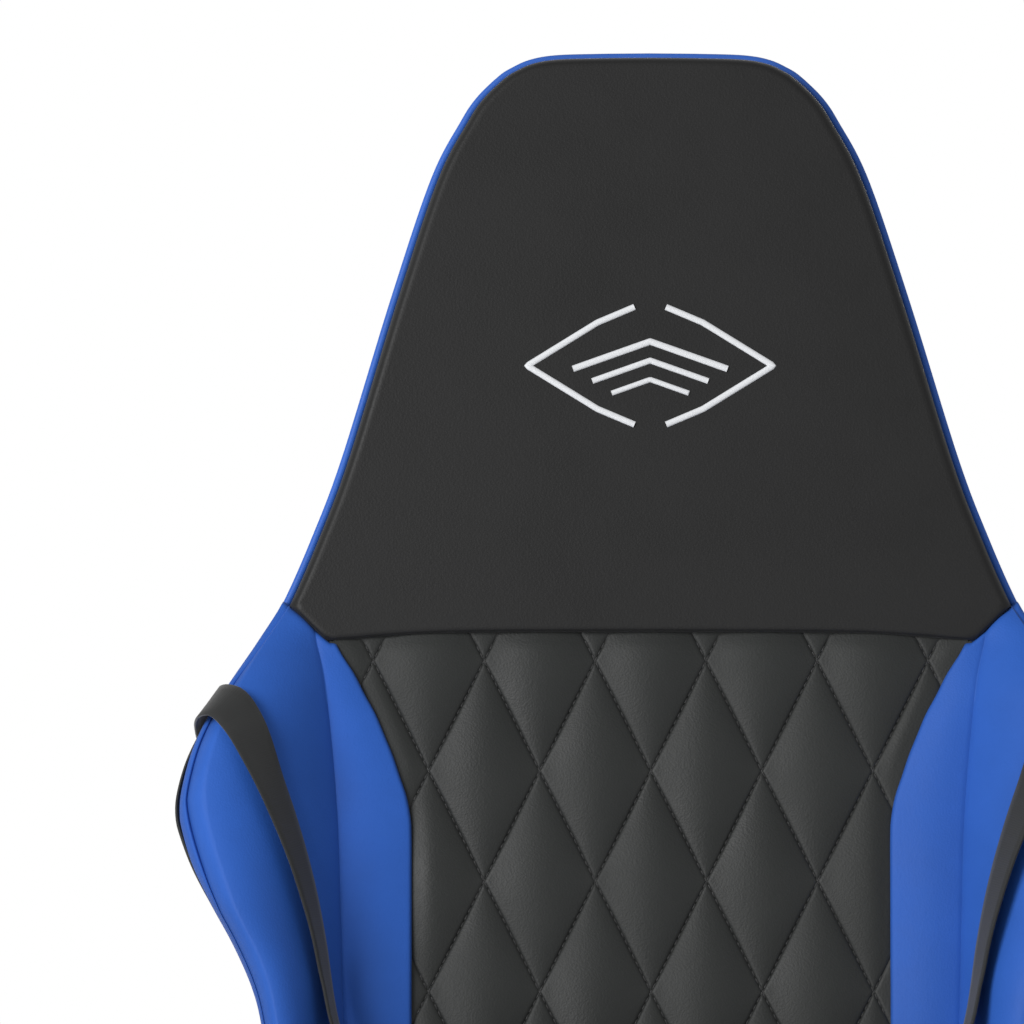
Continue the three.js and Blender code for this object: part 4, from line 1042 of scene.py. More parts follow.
# ---- Piping and stitching ----
def make_head_piping():
    """The piping between the head panel and the rear cover."""
    loop = outer_line()
    run = np.gradient(loop, axis=0)
    run /= np.linalg.norm(run, axis=1)[:, None]
    inward = np.column_stack([run[:, 1], -run[:, 0]])
    middle = loop + inward * PIPING
    centres = np.column_stack([middle[:, 0], np.full(len(middle), 20.0), middle[:, 1]])
    centres = spaced(centres, 2.5)
    vertices, faces = tube(in_row_frame(centres), PIPING / 1000, 12)
    piece("head_piping", vertices, faces, piping_leather, "back")


def stitches(name, paths):
    """A row of short rounded stitches along each path on the back, which is in the row frame."""
    s = sizes()
    radius = 0.00038
    parts = []
    for path in paths:
        p = spaced(path, s.stitch_pitch / 4)
        for i in range(0, len(p) - 4, 4):
            run = p[min(i + 3, len(p) - 1)] - p[i]
            size = np.linalg.norm(run)
            if size < 1e-6:
                continue
            run = run / size * s.stitch
            at = np.array([p[i] + run * k for k in (0, 0.12, 0.5, 0.88, 1)])
            v, f = tube(at, radius, 6)
            middle = at.repeat(6, axis=0)
            swell = np.repeat([0.45, 0.9, 1.0, 0.9, 0.45], 6)[:, None]
            parts.append((middle + (v - middle) * swell, f))
    vertices, faces = several(parts)
    piece(name, vertices, faces, black_thread, "back", sharp=80)


def quilt_channels():
    """Lines along the quilted panel's channels, in the row frame."""
    across, tall = diamond()
    loop = quilt_loop()
    lines = []
    for i in range(-9, 10):
        for lean in (-1, 1):
            z = np.arange(BACK_BOTTOM + 18, QUILT_ORIGIN + 90, 1.0)
            x = across * (i - lean * (z - QUILT_ORIGIN) / tall)
            flat = np.column_stack([x, z])
            flat = flat[inside(flat, loop)]
            flat = flat[distance_to(flat, loop, True) > 3] if len(flat) else flat
            if len(flat) > 12:
                front = quilt_front(flat) + 0.25
                lines.append(in_row_frame(np.column_stack([flat[:, 0], front, flat[:, 1]])))
    return lines


def make_seam_stitching():
    """Stitches along the quilt's channels and beside the rear cover's seams."""
    stitches("quilt_stitching", quilt_channels())
    rear = []
    beside = (-5, 5)  # a row of stitches on each side of a seam
    for side in (-1, 1):
        for offset in beside:
            drop = np.linspace(26, BACK_DROP - 30, 200)
            x = side * (long_seam(drop) + offset)
            flat = np.column_stack([x, BACK_TOP - drop])
            rear.append(in_row_frame(np.column_stack([x, rear_back(flat) - 0.2, flat[:, 1]])))
    for offset in beside:
        x = np.linspace(-150, 150, 120)
        flat = np.column_stack([x, BACK_TOP - yoke_seam(x) + offset])
        rear.append(in_row_frame(np.column_stack([x, rear_back(flat) - 0.2, flat[:, 1]])))
    stitches("rear_cover_stitching", rear)


# ---- Embroidered motif ----
def satin_line(points, width):
    """A raised satin-stitch line over the head panel along [across, up] points."""
    line = spaced(points, 1.0)
    run = np.gradient(line, axis=0)
    run /= np.linalg.norm(run, axis=1)[:, None]
    normal = np.column_stack([-run[:, 1], run[:, 0]])
    rows = []
    ripple = 0.12 * np.cos(np.arange(len(line)) * math.pi)
    for k in (-1, -0.85, -0.45, 0, 0.45, 0.85, 1):
        flat = line + normal * width * k / 2
        height = 0.15 + 0.95 * math.sqrt(max(1 - k * k, 0)) + ripple * (1 - abs(k))
        rows.append(np.column_stack([flat[:, 0], head_front(flat) + height, flat[:, 1]]))
    for k in (1, -1):
        flat = line + normal * width * k / 2
        rows.append(np.column_stack([flat[:, 0], head_front(flat) - 0.6, flat[:, 1]]))
    grid = np.stack(rows, 1)
    vertices = grid.reshape(-1, 3)
    n = len(rows)
    faces = quads(len(line), n, closed_columns=True)
    faces += [tuple(range(n)), tuple(range(len(vertices) - n, len(vertices)))]
    return vertices, faces


def make_motif():
    """A wide open diamond round three nested chevrons, sewn in white satin stitch."""
    middle = BACK_TOP - 186
    parts = []
    for side in (-1, 1):
        bracket = [(side * 9, middle + 34), (side * 30, middle + 25), (side * 70, middle),
                   (side * 30, middle - 25), (side * 9, middle - 34)]
        parts.append(satin_line(bracket, 3.6))
    for i, (reach, lift) in enumerate(((44, 14), (33, 3), (22, -8))):
        rise = reach * 0.36
        chevron = [(-reach, middle + lift - rise), (0, middle + lift), (reach, middle + lift - rise)]
        parts.append(satin_line(chevron, 3.8 - 0.4 * i))
    vertices, faces = several(parts)
    piece("head_motif", in_row_frame(vertices), faces, white_thread, "back", sharp=80)


# ---- Straps ----
def laid(points, facings, gap=0.003):
    """Even points along a strap's middle line and the way it faces at each, both in the row frame."""
    facing = smooth(facing_out(facings), 14) * 0.001
    both = spaced(np.hstack([smooth(in_row_frame(points), 14), facing]), gap)
    p, f = both[:, :3], both[:, 3:]
    run = np.gradient(p, axis=0)
    run /= np.linalg.norm(run, axis=1)[:, None]
    f = f - run * np.einsum("ij,ij->i", f, run)[:, None]
    return p, f / np.linalg.norm(f, axis=1)[:, None], run


def facing_out(vectors):
    """Directions in the back's own frame, [across, front, up], in the row frame."""
    v = np.asarray(vectors, float)
    y = -v[:, 1] * math.cos(LEAN) + v[:, 2] * math.sin(LEAN)
    z = v[:, 1] * math.sin(LEAN) + v[:, 2] * math.cos(LEAN)
    return np.column_stack([v[:, 0], y, z])


def strap_piece(name, line, start=0, end=None, body=None, replaces=()):
    """A flat woven strap along a stretch of a laid line, with UVs in metres."""
    s = sizes()
    p, f, run = (part[start:end] for part in line)
    side = np.cross(run, f)
    half, t = s.strap_width / 2, s.strap_thick
    section = [(-1, 0.25), (-0.97, 0.02), (-0.6, 0), (0, 0), (0.6, 0), (0.97, 0.02), (1, 0.25), (1, 0.75),
               (0.97, 0.98), (0.6, 1), (0, 1), (-0.6, 1), (-0.97, 0.98), (-1, 0.75)]
    rows = [p + side * half * k + f * t * h for k, h in section]
    vertices = np.stack(rows, 1).reshape(-1, 3)
    n = len(section)
    faces = quads(len(p), n, closed_columns=True)
    faces += [tuple(range(n)), tuple(range(len(vertices) - n, len(vertices)))]
    travel = np.concatenate([[0], np.cumsum(np.linalg.norm(np.diff(p, axis=0), axis=1))])
    uv = [(half * k + half, along) for along in travel for k, _ in section]
    obj = piece(name, vertices, faces, webbing, body, sharp=70, replaces=replaces)
    layer = obj.data.uv_layers.new(name="lengthwise")
    for loop in obj.data.loops:
        layer.data[loop.index].uv = uv[loop.vertex_index]
    return obj


def wing_surface_front(x, drop):
    """How far in front the wing stands at a place on its slope."""
    knots = wing_knots(drop)
    stretch = 1 if x < knots[2] else 2
    t = (x - knots[stretch]) / (knots[stretch + 1] - knots[stretch])
    return float(wing_at(stretch, min(t, 1), drop)[1])


# The strap's lower end, sewn into the lumbar cushion's side seam: half width, front and height.
STRAP_FOOT = [(147, 79, 158), (151, 79, 178), (157, 79, 202), (164.5, 78, 228), (172.5, 76, 253)]
# Up the wing: half width, distance down, how far it stands off, and the way it faces.
STRAP_UP = [
    (179.5, 568, 18, (-0.98, 0.19, 0)), (184, 545, 9, (-0.98, 0.21, 0)), (188, 522, 9, (-0.97, 0.26, 0)),
    (193, 500, 8.5, (-0.95, 0.33, 0)), (199.5, 477, 8, (-0.91, 0.41, 0.04)),
    (207.5, 454, 7.5, (-0.84, 0.53, 0.13)), (216.4, 431.7, 7, (-0.7, 0.66, 0.24)),
    (226.3, 408, 6, (-0.39, 0.86, 0.33)), (232.8, 396, 5, (-0.04, 0.84, 0.5)),
]
# Round the rim and down the rear: half width, front, distance down, and the way it faces.
STRAP_OVER = [
    (238, 86, 389.2, (0.24, 0.78, 0.56)), (242.4, 83, 386.4, (0.42, 0.62, 0.64)),
    (247, 76, 385.2, (0.62, 0.42, 0.62)), (250, 64, 385.3, (0.8, 0.12, 0.57)),
    (250.8, 46, 386, (0.83, 0, 0.55)), (250.3, 10, 387, (0.83, 0, 0.5)),
    (247.5, -20, 388, (0.8, -0.5, 0.35)), (236, -39, 393, (0.25, -1, 0.1)), (222, -39, 406, (0, -1, 0)),
    (190, -39, 465, (0, -1, 0)), (150, -39, 595, (0, -1, 0)), (128, -39, 725, (0, -1, 0)),
    (121.5, -39, 775, (0, -1, -0.1)), (120, -34, 798, (0, -0.8, -0.8)), (120, -18, 802, (0, -0.1, -1)),
]
# Under the back and into the lumbar cushion, in the same terms.
STRAP_UNDER = [
    (120, 0, 802.5, (0, 0, -1)), (120, 28, 801, (0, 0.2, -1)), (120, 46, 793, (0, 0.6, -1)),
    (120, 58, 782, (0, 0.8, -1)), (120, 68, 773, (0, 0.8, -1)),
]


def make_straps():
    """Both shoulder straps: up the wing, over its rim, down the rear and under the back."""
    up_from = len(STRAP_FOOT)
    rim = up_from + len(STRAP_UP) - 1
    under_from = rim + len(STRAP_OVER) + 1
    slider = rim + 10
    for side, name in ((1, "left"), (-1, "right")):
        points = [(side * x, front, up) for x, front, up in STRAP_FOOT]
        facings = [(-side, 0.03, 0.0)] * len(points)
        for x, drop, off, (across, out, up) in STRAP_UP:
            points.append((side * x, wing_surface_front(x, drop) + off, BACK_TOP - drop))
            facings.append((side * across, out, up))
        for x, front, drop, (across, out, up) in STRAP_OVER + STRAP_UNDER:
            points.append((side * x, front, BACK_TOP - drop))
            facings.append((side * across, out, up))
        line = laid(np.array(points, float), np.array(facings, float))
        knots = in_row_frame(np.array(points, float))
        over, back = (np.linalg.norm(line[0] - knots[k], axis=1).argmin() for k in (rim, under_from))
        front = strap_piece(f"shoulder_strap_{name}_front", line, 0, over + 1,
                            replaces=[f"shoulder_strap_{name}"])
        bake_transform(front)
        strap_piece(f"shoulder_strap_{name}_rear", line, over, back + 1, body="back")
        under = strap_piece(f"shoulder_strap_{name}_under", line, back)
        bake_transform(under)
        make_slider(name, knots[slider:slider + 2])


def make_slider(name, path):
    """The strap's adjuster on the rear: a moulded frame with a middle bar."""
    s = sizes()
    at = (path[0] + path[1]) / 2
    run = path[1] - path[0]
    run /= np.linalg.norm(run)
    out = np.array((0, math.cos(LEAN), -math.sin(LEAN)))
    across = np.cross(run, out)
    half_wide, half_long = s.strap_width / 2 + 0.0045, 0.015
    parts = []
    corners = np.array([(1, 1), (1, -1), (-1, -1), (-1, 1)]) * (half_wide, half_long)
    loop = []
    for (x0, y0), (x1, y1) in zip(corners, np.roll(corners, -1, 0)):
        loop += [(x0 + (x1 - x0) * k, y0 + (y1 - y0) * k) for k in (0.08, 0.5, 0.92)]
    path_loop = np.array([at + across * x + run * y + out * 0.003 for x, y in loop])
    parts.append(tube(smooth(np.vstack([path_loop, path_loop[:1]]), 4)[:-1], 0.0022, 10, closed=True))
    bar = np.array([at + across * half_wide * k + out * 0.0034 for k in np.linspace(-1, 1, 5)])
    parts.append(tube(bar, 0.002, 10))
    vertices, faces = several(parts)
    piece(f"strap_slider_{name}", vertices, faces, smooth_nylon, "back")


# ---- Sewn cushions ----
def inflated(mesh, cap, pressure=4.0):
    """The mesh as a stuffed cover: remeshed evenly, blown up as cloth, then refined.

    cap is the farthest that a point may move.
    """
    last_frame = 20
    work = with_modifiers(mesh, ("REMESH", {"mode": "VOXEL", "voxel_size": 0.006}),
                          ("SMOOTH", {"factor": 0.5, "iterations": 6}))
    rest = np.array([v.co for v in work.vertices])
    obj = bpy.data.objects.new("cloth", work)
    bpy.context.scene.collection.objects.link(obj)
    cloth = obj.modifiers.new("cloth", "CLOTH")
    cloth.settings.quality = 5
    cloth.settings.mass = 0.3
    cloth.settings.tension_stiffness = 30
    cloth.settings.compression_stiffness = 30
    cloth.settings.bending_stiffness = 2.0
    cloth.settings.use_pressure = True
    cloth.settings.uniform_pressure_force = pressure
    cloth.settings.effector_weights.gravity = 0
    cloth.point_cache.frame_start = 1
    cloth.point_cache.frame_end = last_frame
    for number in range(1, last_frame + 1):
        bpy.context.scene.frame_set(number)
    shape = obj.evaluated_get(bpy.context.evaluated_depsgraph_get())
    moved = np.array([v.co for v in shape.data.vertices]) - rest
    far = np.linalg.norm(moved, axis=1)[:, None]
    moved *= np.minimum(1, cap / np.maximum(far, 1e-9))
    obj.modifiers.clear()
    bpy.context.scene.frame_set(1)
    bpy.data.objects.remove(obj)
    work.vertices.foreach_set("co", (rest + moved).ravel().astype(np.float32))
    return with_modifiers(work, ("SMOOTH", {"factor": 0.5, "iterations": 16}),
                          ("SUBSURF", {"levels": 1, "render_levels": 1}))


def cad_mesh(name):
    """A copy of a CAD node's mesh with its shared vertices joined."""
    mesh = frame["nodes"][name].data.copy()
    work = bmesh.new()
    work.from_mesh(mesh)
    bmesh.ops.remove_doubles(work, verts=work.verts, dist=1e-6)
    work.to_mesh(mesh)
    work.free()
    mesh.materials.clear()
    return mesh


def coordinates(mesh):
    """A mesh's vertices as an array."""
    return np.array([v.co for v in mesh.vertices])


def set_coordinates(mesh, points):
    """Moves a mesh's vertices to new places."""
    mesh.vertices.foreach_set("co", np.asarray(points, np.float32).ravel())
    mesh.update()


def shrunk(mesh, margin):
    """The mesh drawn in by a margin on every side."""
    points = coordinates(mesh)
    low, high = points.min(0), points.max(0)
    middle, half = (low + high) / 2, (high - low) / 2
    set_coordinates(mesh, middle + (points - middle) * (1 - margin / half))
    return mesh


def cut_loop(mesh, point, normal):
    """The longest closed line where a plane cuts a mesh, in order."""
    work = bmesh.new()
    work.from_mesh(mesh)
    everything = list(work.verts) + list(work.edges) + list(work.faces)
    cut = bmesh.ops.bisect_plane(work, geom=everything, plane_co=point, plane_no=normal)["geom_cut"]
    # A dictionary keeps the edges' order, so each run starts its loops at the same ones.
    edges = dict.fromkeys(e for e in cut if isinstance(e, bmesh.types.BMEdge))
    loops = []
    while edges:
        first = next(iter(edges))
        del edges[first]
        chain = [first.verts[0], first.verts[1]]
        while True:
            onward = next((e for e in chain[-1].link_edges if e in edges), None)
            if onward is None:
                break
            del edges[onward]
            chain.append(onward.other_vert(chain[-1]))
        loops.append(np.array([v.co for v in chain]))
    work.free()
    longest = max(loops, key=lambda c: np.linalg.norm(np.diff(c, axis=0), axis=1).sum())
    return evened(longest[:-1])


def evened(loop, gap=0.004, rounds=6):
    """A closed loop at an even gap, with its small jogs smoothed away."""
    loop = spaced(loop, gap, closed=True)
    for _ in range(rounds):
        loop = 0.5 * loop + 0.25 * (np.roll(loop, 1, 0) + np.roll(loop, -1, 0))
    return loop


def make_welt(name, mesh, point, normal, body, finish, keep=None):
    """Piping sewn into a cushion's seam, where a plane cuts it. keep says which points to keep."""
    radius, out = 0.0021, 0.0006
    loop = cut_loop(mesh, point, normal)
    axis = np.array(Vector(normal).normalized())
    run = np.roll(loop, -1, 0) - np.roll(loop, 1, 0)
    run /= np.linalg.norm(run, axis=1)[:, None]
    away = np.cross(run, axis)
    if np.einsum("ij,ij->i", away, loop - loop.mean(0)).mean() < 0:
        away = -away
    loop = loop + away * out
    closed = keep is None
    if not closed:
        wanted = keep(loop)
        first = int(np.flatnonzero(wanted & ~np.roll(wanted, 1))[0])
        loop, wanted = np.roll(loop, -first, 0), np.roll(wanted, -first)
        loop = loop[:int(np.argmin(wanted))]
    vertices, faces = tube(loop, radius, 10, closed=closed)
    piece(name, vertices, faces, finish, body)


def pinched(mesh, point, normal, depth=0.0022, width=0.005):
    """Draws a cushion's skin in along the seam where a plane cuts it."""
    points = coordinates(mesh)
    axis = np.array(Vector(normal).normalized())
    normals = np.array([v.normal for v in mesh.vertices])
    flat = normals - np.outer(normals @ axis, axis)
    far = (points - np.array(point)) @ axis
    points -= flat * (depth * np.exp(-(far / width) ** 2))[:, None]
    set_coordinates(mesh, points)


def make_seat_cushion():
    """The stuffed seat cushion, quilted on top, with piping along its front."""
    low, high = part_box("seat_cushion")
    mesh = inflated(shrunk(cad_mesh("seat_cushion"), 0.003), 0.007)
    mesh = with_modifiers(mesh, ("SUBSURF", {"levels": 1, "render_levels": 1,
                                             "subdivision_type": "SIMPLE"}))
    points = coordinates(mesh)
    normals = np.array([v.normal for v in mesh.vertices])
    x, y = points[:, 0] * 1000, points[:, 1] * 1000
    inset = np.minimum(high.x * 1000 - np.abs(x), high.y * 1000 - y)
    upward = eased(normals[:, 2], 0.35, 0.75) * eased(inset, 8, 24)
    upward *= eased(y, low.y * 1000 + 30, low.y * 1000 + 70)
    rise, _ = quilt_rise(x, y)
    points[:, 2] += (rise - sizes().quilt_rise * 1000 * 0.8) / 1000 * upward
    points = np.clip(points, np.array(low) + 0.0004, np.array(high) + (0, 0, 0.006))
    set_coordinates(mesh, points)
    seam_at, seam_lies = (0, 0, low.z + 0.040), (0, 0.06, 1)
    pinched(mesh, seam_at, seam_lies)
    make_welt("seat_cushion_piping", mesh, seam_at, seam_lies, "seat", piping_leather,
              keep=lambda p: p[:, 1] < low.y + 0.03)
    obj = finished("seat_cushion_cover", mesh, black_leather, "seat",
                   replaces=["seat_cushion"])
    # Painted shade along the quilting's channels, on the cushion's top only.
    local = coordinates(obj.data)
    _, near = quilt_rise(local[:, 0] * 1000, local[:, 1] * 1000)
    top = eased(local[:, 2], high.z - 0.03, high.z - 0.015)
    top *= eased(local[:, 1], low.y + 0.03, low.y + 0.07)
    paint_seam_shade(obj, painted_channel_shade(near) * top)


def make_seat_bolsters():
    """Both stuffed seat bolsters, each with a welt round its outer side."""
    for side, name in ((1, "seat_bolster_left"), (-1, "seat_bolster_right")):
        low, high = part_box(name)
        mesh = inflated(shrunk(cad_mesh(name), 0.003), 0.007, pressure=3.0)
        points = np.clip(coordinates(mesh), np.array(low) + 0.0003, np.array(high) + (0.004, 0.004, 0.006))
        edge = low.x if side > 0 else high.x
        points[:, 0] = np.maximum(points[:, 0], edge) if side > 0 else np.minimum(points[:, 0], edge)
        set_coordinates(mesh, points)
        seam_at, seam_lies = (0, 0, low.z + 0.046), (0, 0.05, 1)
        pinched(mesh, seam_at, seam_lies, 0.0026)
        outer = (low.x + high.x) / 2 - side * 0.03
        make_welt(name + "_piping", mesh, seam_at, seam_lies, "seat", black_leather,
                  keep=lambda p: (side * p[:, 0] > side * outer) & (p[:, 1] < high.y - 0.03))
        finished(name + "_cover", mesh, blue_leather, "seat", replaces=[name])


def make_lumbar_cushion():
    """The stuffed lumbar cushion, with piping all round."""
    low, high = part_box("lumbar_cushion")
    mesh = inflated(shrunk(cad_mesh("lumbar_cushion"), 0.006), 0.014, pressure=5.0)
    middle = tuple((low + high) / 2)
    facing = tuple(facing_out([(0, 1, 0)])[0])
    pinched(mesh, middle, facing, 0.003, 0.006)
    make_welt("lumbar_cushion_piping", mesh, middle, facing, "lumbar", piping_leather)
    finished("lumbar_cushion_cover", mesh, black_leather, "lumbar",
             replaces=["lumbar_cushion"])


# ---- Hard parts ----
def refined(node_name, name, finish, body, bevel, segments=2):
    """A CAD node's own shape with its edges rounded as the moulded or bent part has them."""
    mesh = cad_mesh(node_name)
    work = bmesh.new()
    work.from_mesh(mesh)
    bmesh.ops.dissolve_limit(work, angle_limit=math.radians(1.5), verts=work.verts, edges=work.edges)
    work.to_mesh(mesh)
    work.free()
    mesh = with_modifiers(mesh, ("BEVEL", {"width": bevel, "segments": segments, "limit_method": "ANGLE",
                                           "angle_limit": math.radians(38), "use_clamp_overlap": True}))
    return finished(name, mesh, finish, body, sharp=42, replaces=[node_name])


def repaint(node_name, finish):
    """Gives a CAD node that keeps its own shape a new finish."""
    obj = frame["nodes"][node_name]
    obj.data.materials.clear()
    obj.data.materials.append(finish())
    for polygon in obj.data.polygons:
        polygon.material_index = 0


def bolt(position, axis, radius=0.0045, height=0.003):
    """A socket button-head screw with a washer, standing on a face."""
    washer = [(0, 0), (radius * 1.75, 0), (radius * 1.75, 0.0006), (radius * 1.68, 0.0009), (0, 0.0009)]
    dome = [(0, 0.0009)]
    for reach, lift in ((1, 0), (0.98, 0.45), (0.8, 0.85), (0.55, 1), (0.48, 0.96), (0.48, 0.35), (0, 0.3)):
        dome.append((radius * reach, 0.0009 + height * lift))
    vertices, faces = several([turned(washer, 20), turned(dome, 18)])
    return placed(vertices, pointing(axis, Vector(position))), faces


def make_casters():
    """Five casters: hoods, axles and twin wheels."""
    for i in range(1, 6):
        joint = JOINTS[f"caster_{i}_wheel_a"]
        axle = Vector(joint["axis"])
        centre = Vector(joint["pos_m"])
        refined(f"caster_housing_{i}", f"caster_hood_{i}", moulded_nylon, f"caster_{i}", 0.0009)
        repaint(f"caster_axle_{i}", drawn_steel)
        for letter in "ab":
            cad = f"caster_wheel_{i}_{letter}"
            points = coordinates(frame["nodes"][cad].data)
            along = (points - np.array(centre)) @ np.array(axle)
            near, far = sorted((along.min(), along.max()), key=abs)
            direction = axle if far > 0 else -axle
            width = abs(far) - abs(near)
            make_wheel(cad, centre + direction * abs(near), direction, width, f"wheel_{i}_{letter}")


def make_wheel(cad, start, direction, w, body):
    """A twin-caster wheel, w wide: a crowned tread on a disc with a raised boss and pockets."""
    radius, bore = 0.025, 0.004
    rings = [
        (bore, 0.0), (radius - 0.006, 0.0), (radius - 0.0022, 0.0006), (radius - 0.0006, 0.0022),
        (radius, 0.3 * w), (radius, 0.7 * w), (radius - 0.0006, w - 0.0026), (radius - 0.0022, w - 0.0009),
        (radius - 0.0045, w - 0.0003), (radius - 0.006, w - 0.0004), (radius - 0.0068, w - 0.0016),
        (radius - 0.0075, w - 0.0018), (0.0105, w - 0.0018), (0.0095, w - 0.0016), (0.0085, w - 0.0006),
        (0.0075, w - 0.0004), (bore + 0.0012, w - 0.0004), (bore, w - 0.0012),
    ]
    vertices, faces = turned(rings, 60)
    count = len(rings)
    angle = np.arctan2(vertices[:, 1], vertices[:, 0])
    pocket = np.clip(np.cos(angle * 6) * 2.2, 0, 1)
    row = np.arange(len(vertices)) % count
    disc = (row == 11) | (row == 12)
    vertices[:, 2] -= np.where(disc, 0.0016 * pocket, 0)
    vertices = placed(vertices, pointing(direction, start))
    piece(cad + "_tread", vertices, faces, wheel_tread, body, sharp=38, replaces=[cad])


def make_base():
    """The star base with its trim ring and tip caps, and the bright steel parts."""
    refined("star_base", "star_base_moulding", moulded_nylon, "base", 0.0028, 3)
    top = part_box("star_base")[1].z
    ring = [(0.0262, top), (0.036, top), (0.0355, top + 0.0015), (0.034, top + 0.0022),
            (0.0285, top + 0.0022), (0.0262, top + 0.0012)]
    vertices, faces = turned(ring, 64)
    piece("hub_trim_ring", vertices, faces, smooth_nylon, "base")
    for i in range(1, 6):
        stem = Vector(JOINTS[f"caster_{i}_swivel"]["pos_m"])
        cap = [(0, 0), (0.0155, 0), (0.016, 0.0004), (0.0152, 0.0014), (0.011, 0.0024), (0.005, 0.0029),
               (0, 0.003)]
        vertices, faces = turned(cap, 40)
        vertices = placed(vertices, Matrix.Translation((stem.x, stem.y, tip_height(stem))))
        piece(f"arm_tip_cap_{i}", vertices, faces, smooth_nylon, "base")
    repaint("column_tube", powder_coat)
    for name in ("thrust_bearing", "piston_rod", "gas_cylinder", "tilt_pin", "recline_rod"):
        repaint(name, drawn_steel)


def tip_height(stem):
    """How high the base's arm stands over a caster's stem."""
    points = coordinates(frame["nodes"]["star_base"].data)
    near = np.hypot(points[:, 0] - stem.x, points[:, 1] - stem.y) < 0.019
    return float(points[near, 2].max())


def make_column_covers():
    """The telescopic cover's three sleeves, each with a lip at both ends."""
    bodies = {"cover_lower": "base", "cover_middle": "middle_cover", "cover_upper": "mechanism"}
    for name, body in bodies.items():
        low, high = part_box(name)
        outer = high.x
        inner = outer - 0.0018
        z0, z1 = low.z, high.z
        profile = [(inner, z0), (outer - 0.0003, z0), (outer, z0 + 0.0004), (outer, z0 + 0.006),
                   (outer - 0.0004, z0 + 0.0066), (outer - 0.0004, z1 - 0.0066), (outer, z1 - 0.006),
                   (outer, z1 - 0.0004), (outer - 0.0003, z1), (inner, z1)]
        vertices, faces = turned(profile, 72)
        piece(name + "_sleeve", vertices, faces, smooth_nylon, body, sharp=38, replaces=[name])


def make_mechanism():
    """The tilt housing, its plate with screws, the height lever and the knob."""
    refined("mechanism_housing", "tilt_housing", powder_coat, "mechanism", 0.0022, 3)
    refined("tilt_plate", "tilt_plate_pressing", powder_coat, "seat", 0.0009)
    refined("height_lever", "height_lever_paddle", moulded_nylon, "height_lever", 0.0022, 3)
    make_knob()
    low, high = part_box("tilt_plate")
    heads = []
    for x in (-0.08, 0.08):
        for y in (low.y + 0.014, high.y - 0.014):
            heads.append(bolt((x, y, high.z - 0.004), (0, 0, -1)))
    vertices, faces = several(heads)
    piece("tilt_plate_screws", vertices, faces, zinc_plate, "seat", sharp=35)


def make_knob():
    """The tilt tension knob: a skirt with finger flutes over a plain stem."""
    low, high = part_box("tension_knob")
    middle = Vector(((low.x + high.x) / 2, (low.y + high.y) / 2, low.z))
    radius = (high.x - low.x) / 2
    top = 0.032
    rings = [(0, 0.0004), (radius - 0.008, 0.0004), (radius - 0.004, 0), (radius - 0.0018, 0.0008),
             (radius, 0.003), (radius, top - 0.003), (radius - 0.001, top - 0.001), (radius - 0.003, top),
             (0.006, top), (0.006, high.z - low.z), (0, high.z - low.z)]
    vertices, faces = turned(rings, 96)
    angle = np.arctan2(vertices[:, 1], vertices[:, 0])
    reach = np.hypot(vertices[:, 0], vertices[:, 1])
    flute = 1 - 0.05 * np.clip(np.cos(angle * 12), 0, 1) * (reach > radius * 0.8)
    vertices[:, :2] *= flute[:, None]
    piece("tension_knob_grip", placed(vertices, Matrix.Translation(middle)), faces, moulded_nylon,
          "tension_knob", sharp=38, replaces=["tension_knob"])


def make_hinge():
    """Hinge plates, caps and screws, the recline lever, the back frame and the board."""
    for side, name in ((1, "left"), (-1, "right")):
        refined(f"recliner_bracket_{name}", f"recliner_plate_{name}", powder_coat, "seat",
                0.0012)
        refined(f"recliner_cover_{name}", f"hinge_cap_{name}", moulded_nylon, "seat", 0.003, 3)
        low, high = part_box(f"recliner_cover_{name}")
        face = high.x if side > 0 else low.x
        heads = []
        for y, z in ((-0.026, -0.02), (0.026, -0.006), (-0.008, 0.03)):
            heads.append(bolt((face, HINGE.y + y, HINGE.z + z), (side, 0, 0), 0.0035, 0.0022))
        vertices, faces = several(heads)
        piece(f"hinge_cap_screws_{name}", vertices, faces, zinc_plate, "seat", sharp=35)
    refined("recline_lever", "recline_lever_grip", moulded_nylon, "recline_lever", 0.0016)
    repaint("back_frame", powder_coat)
    refined_board()


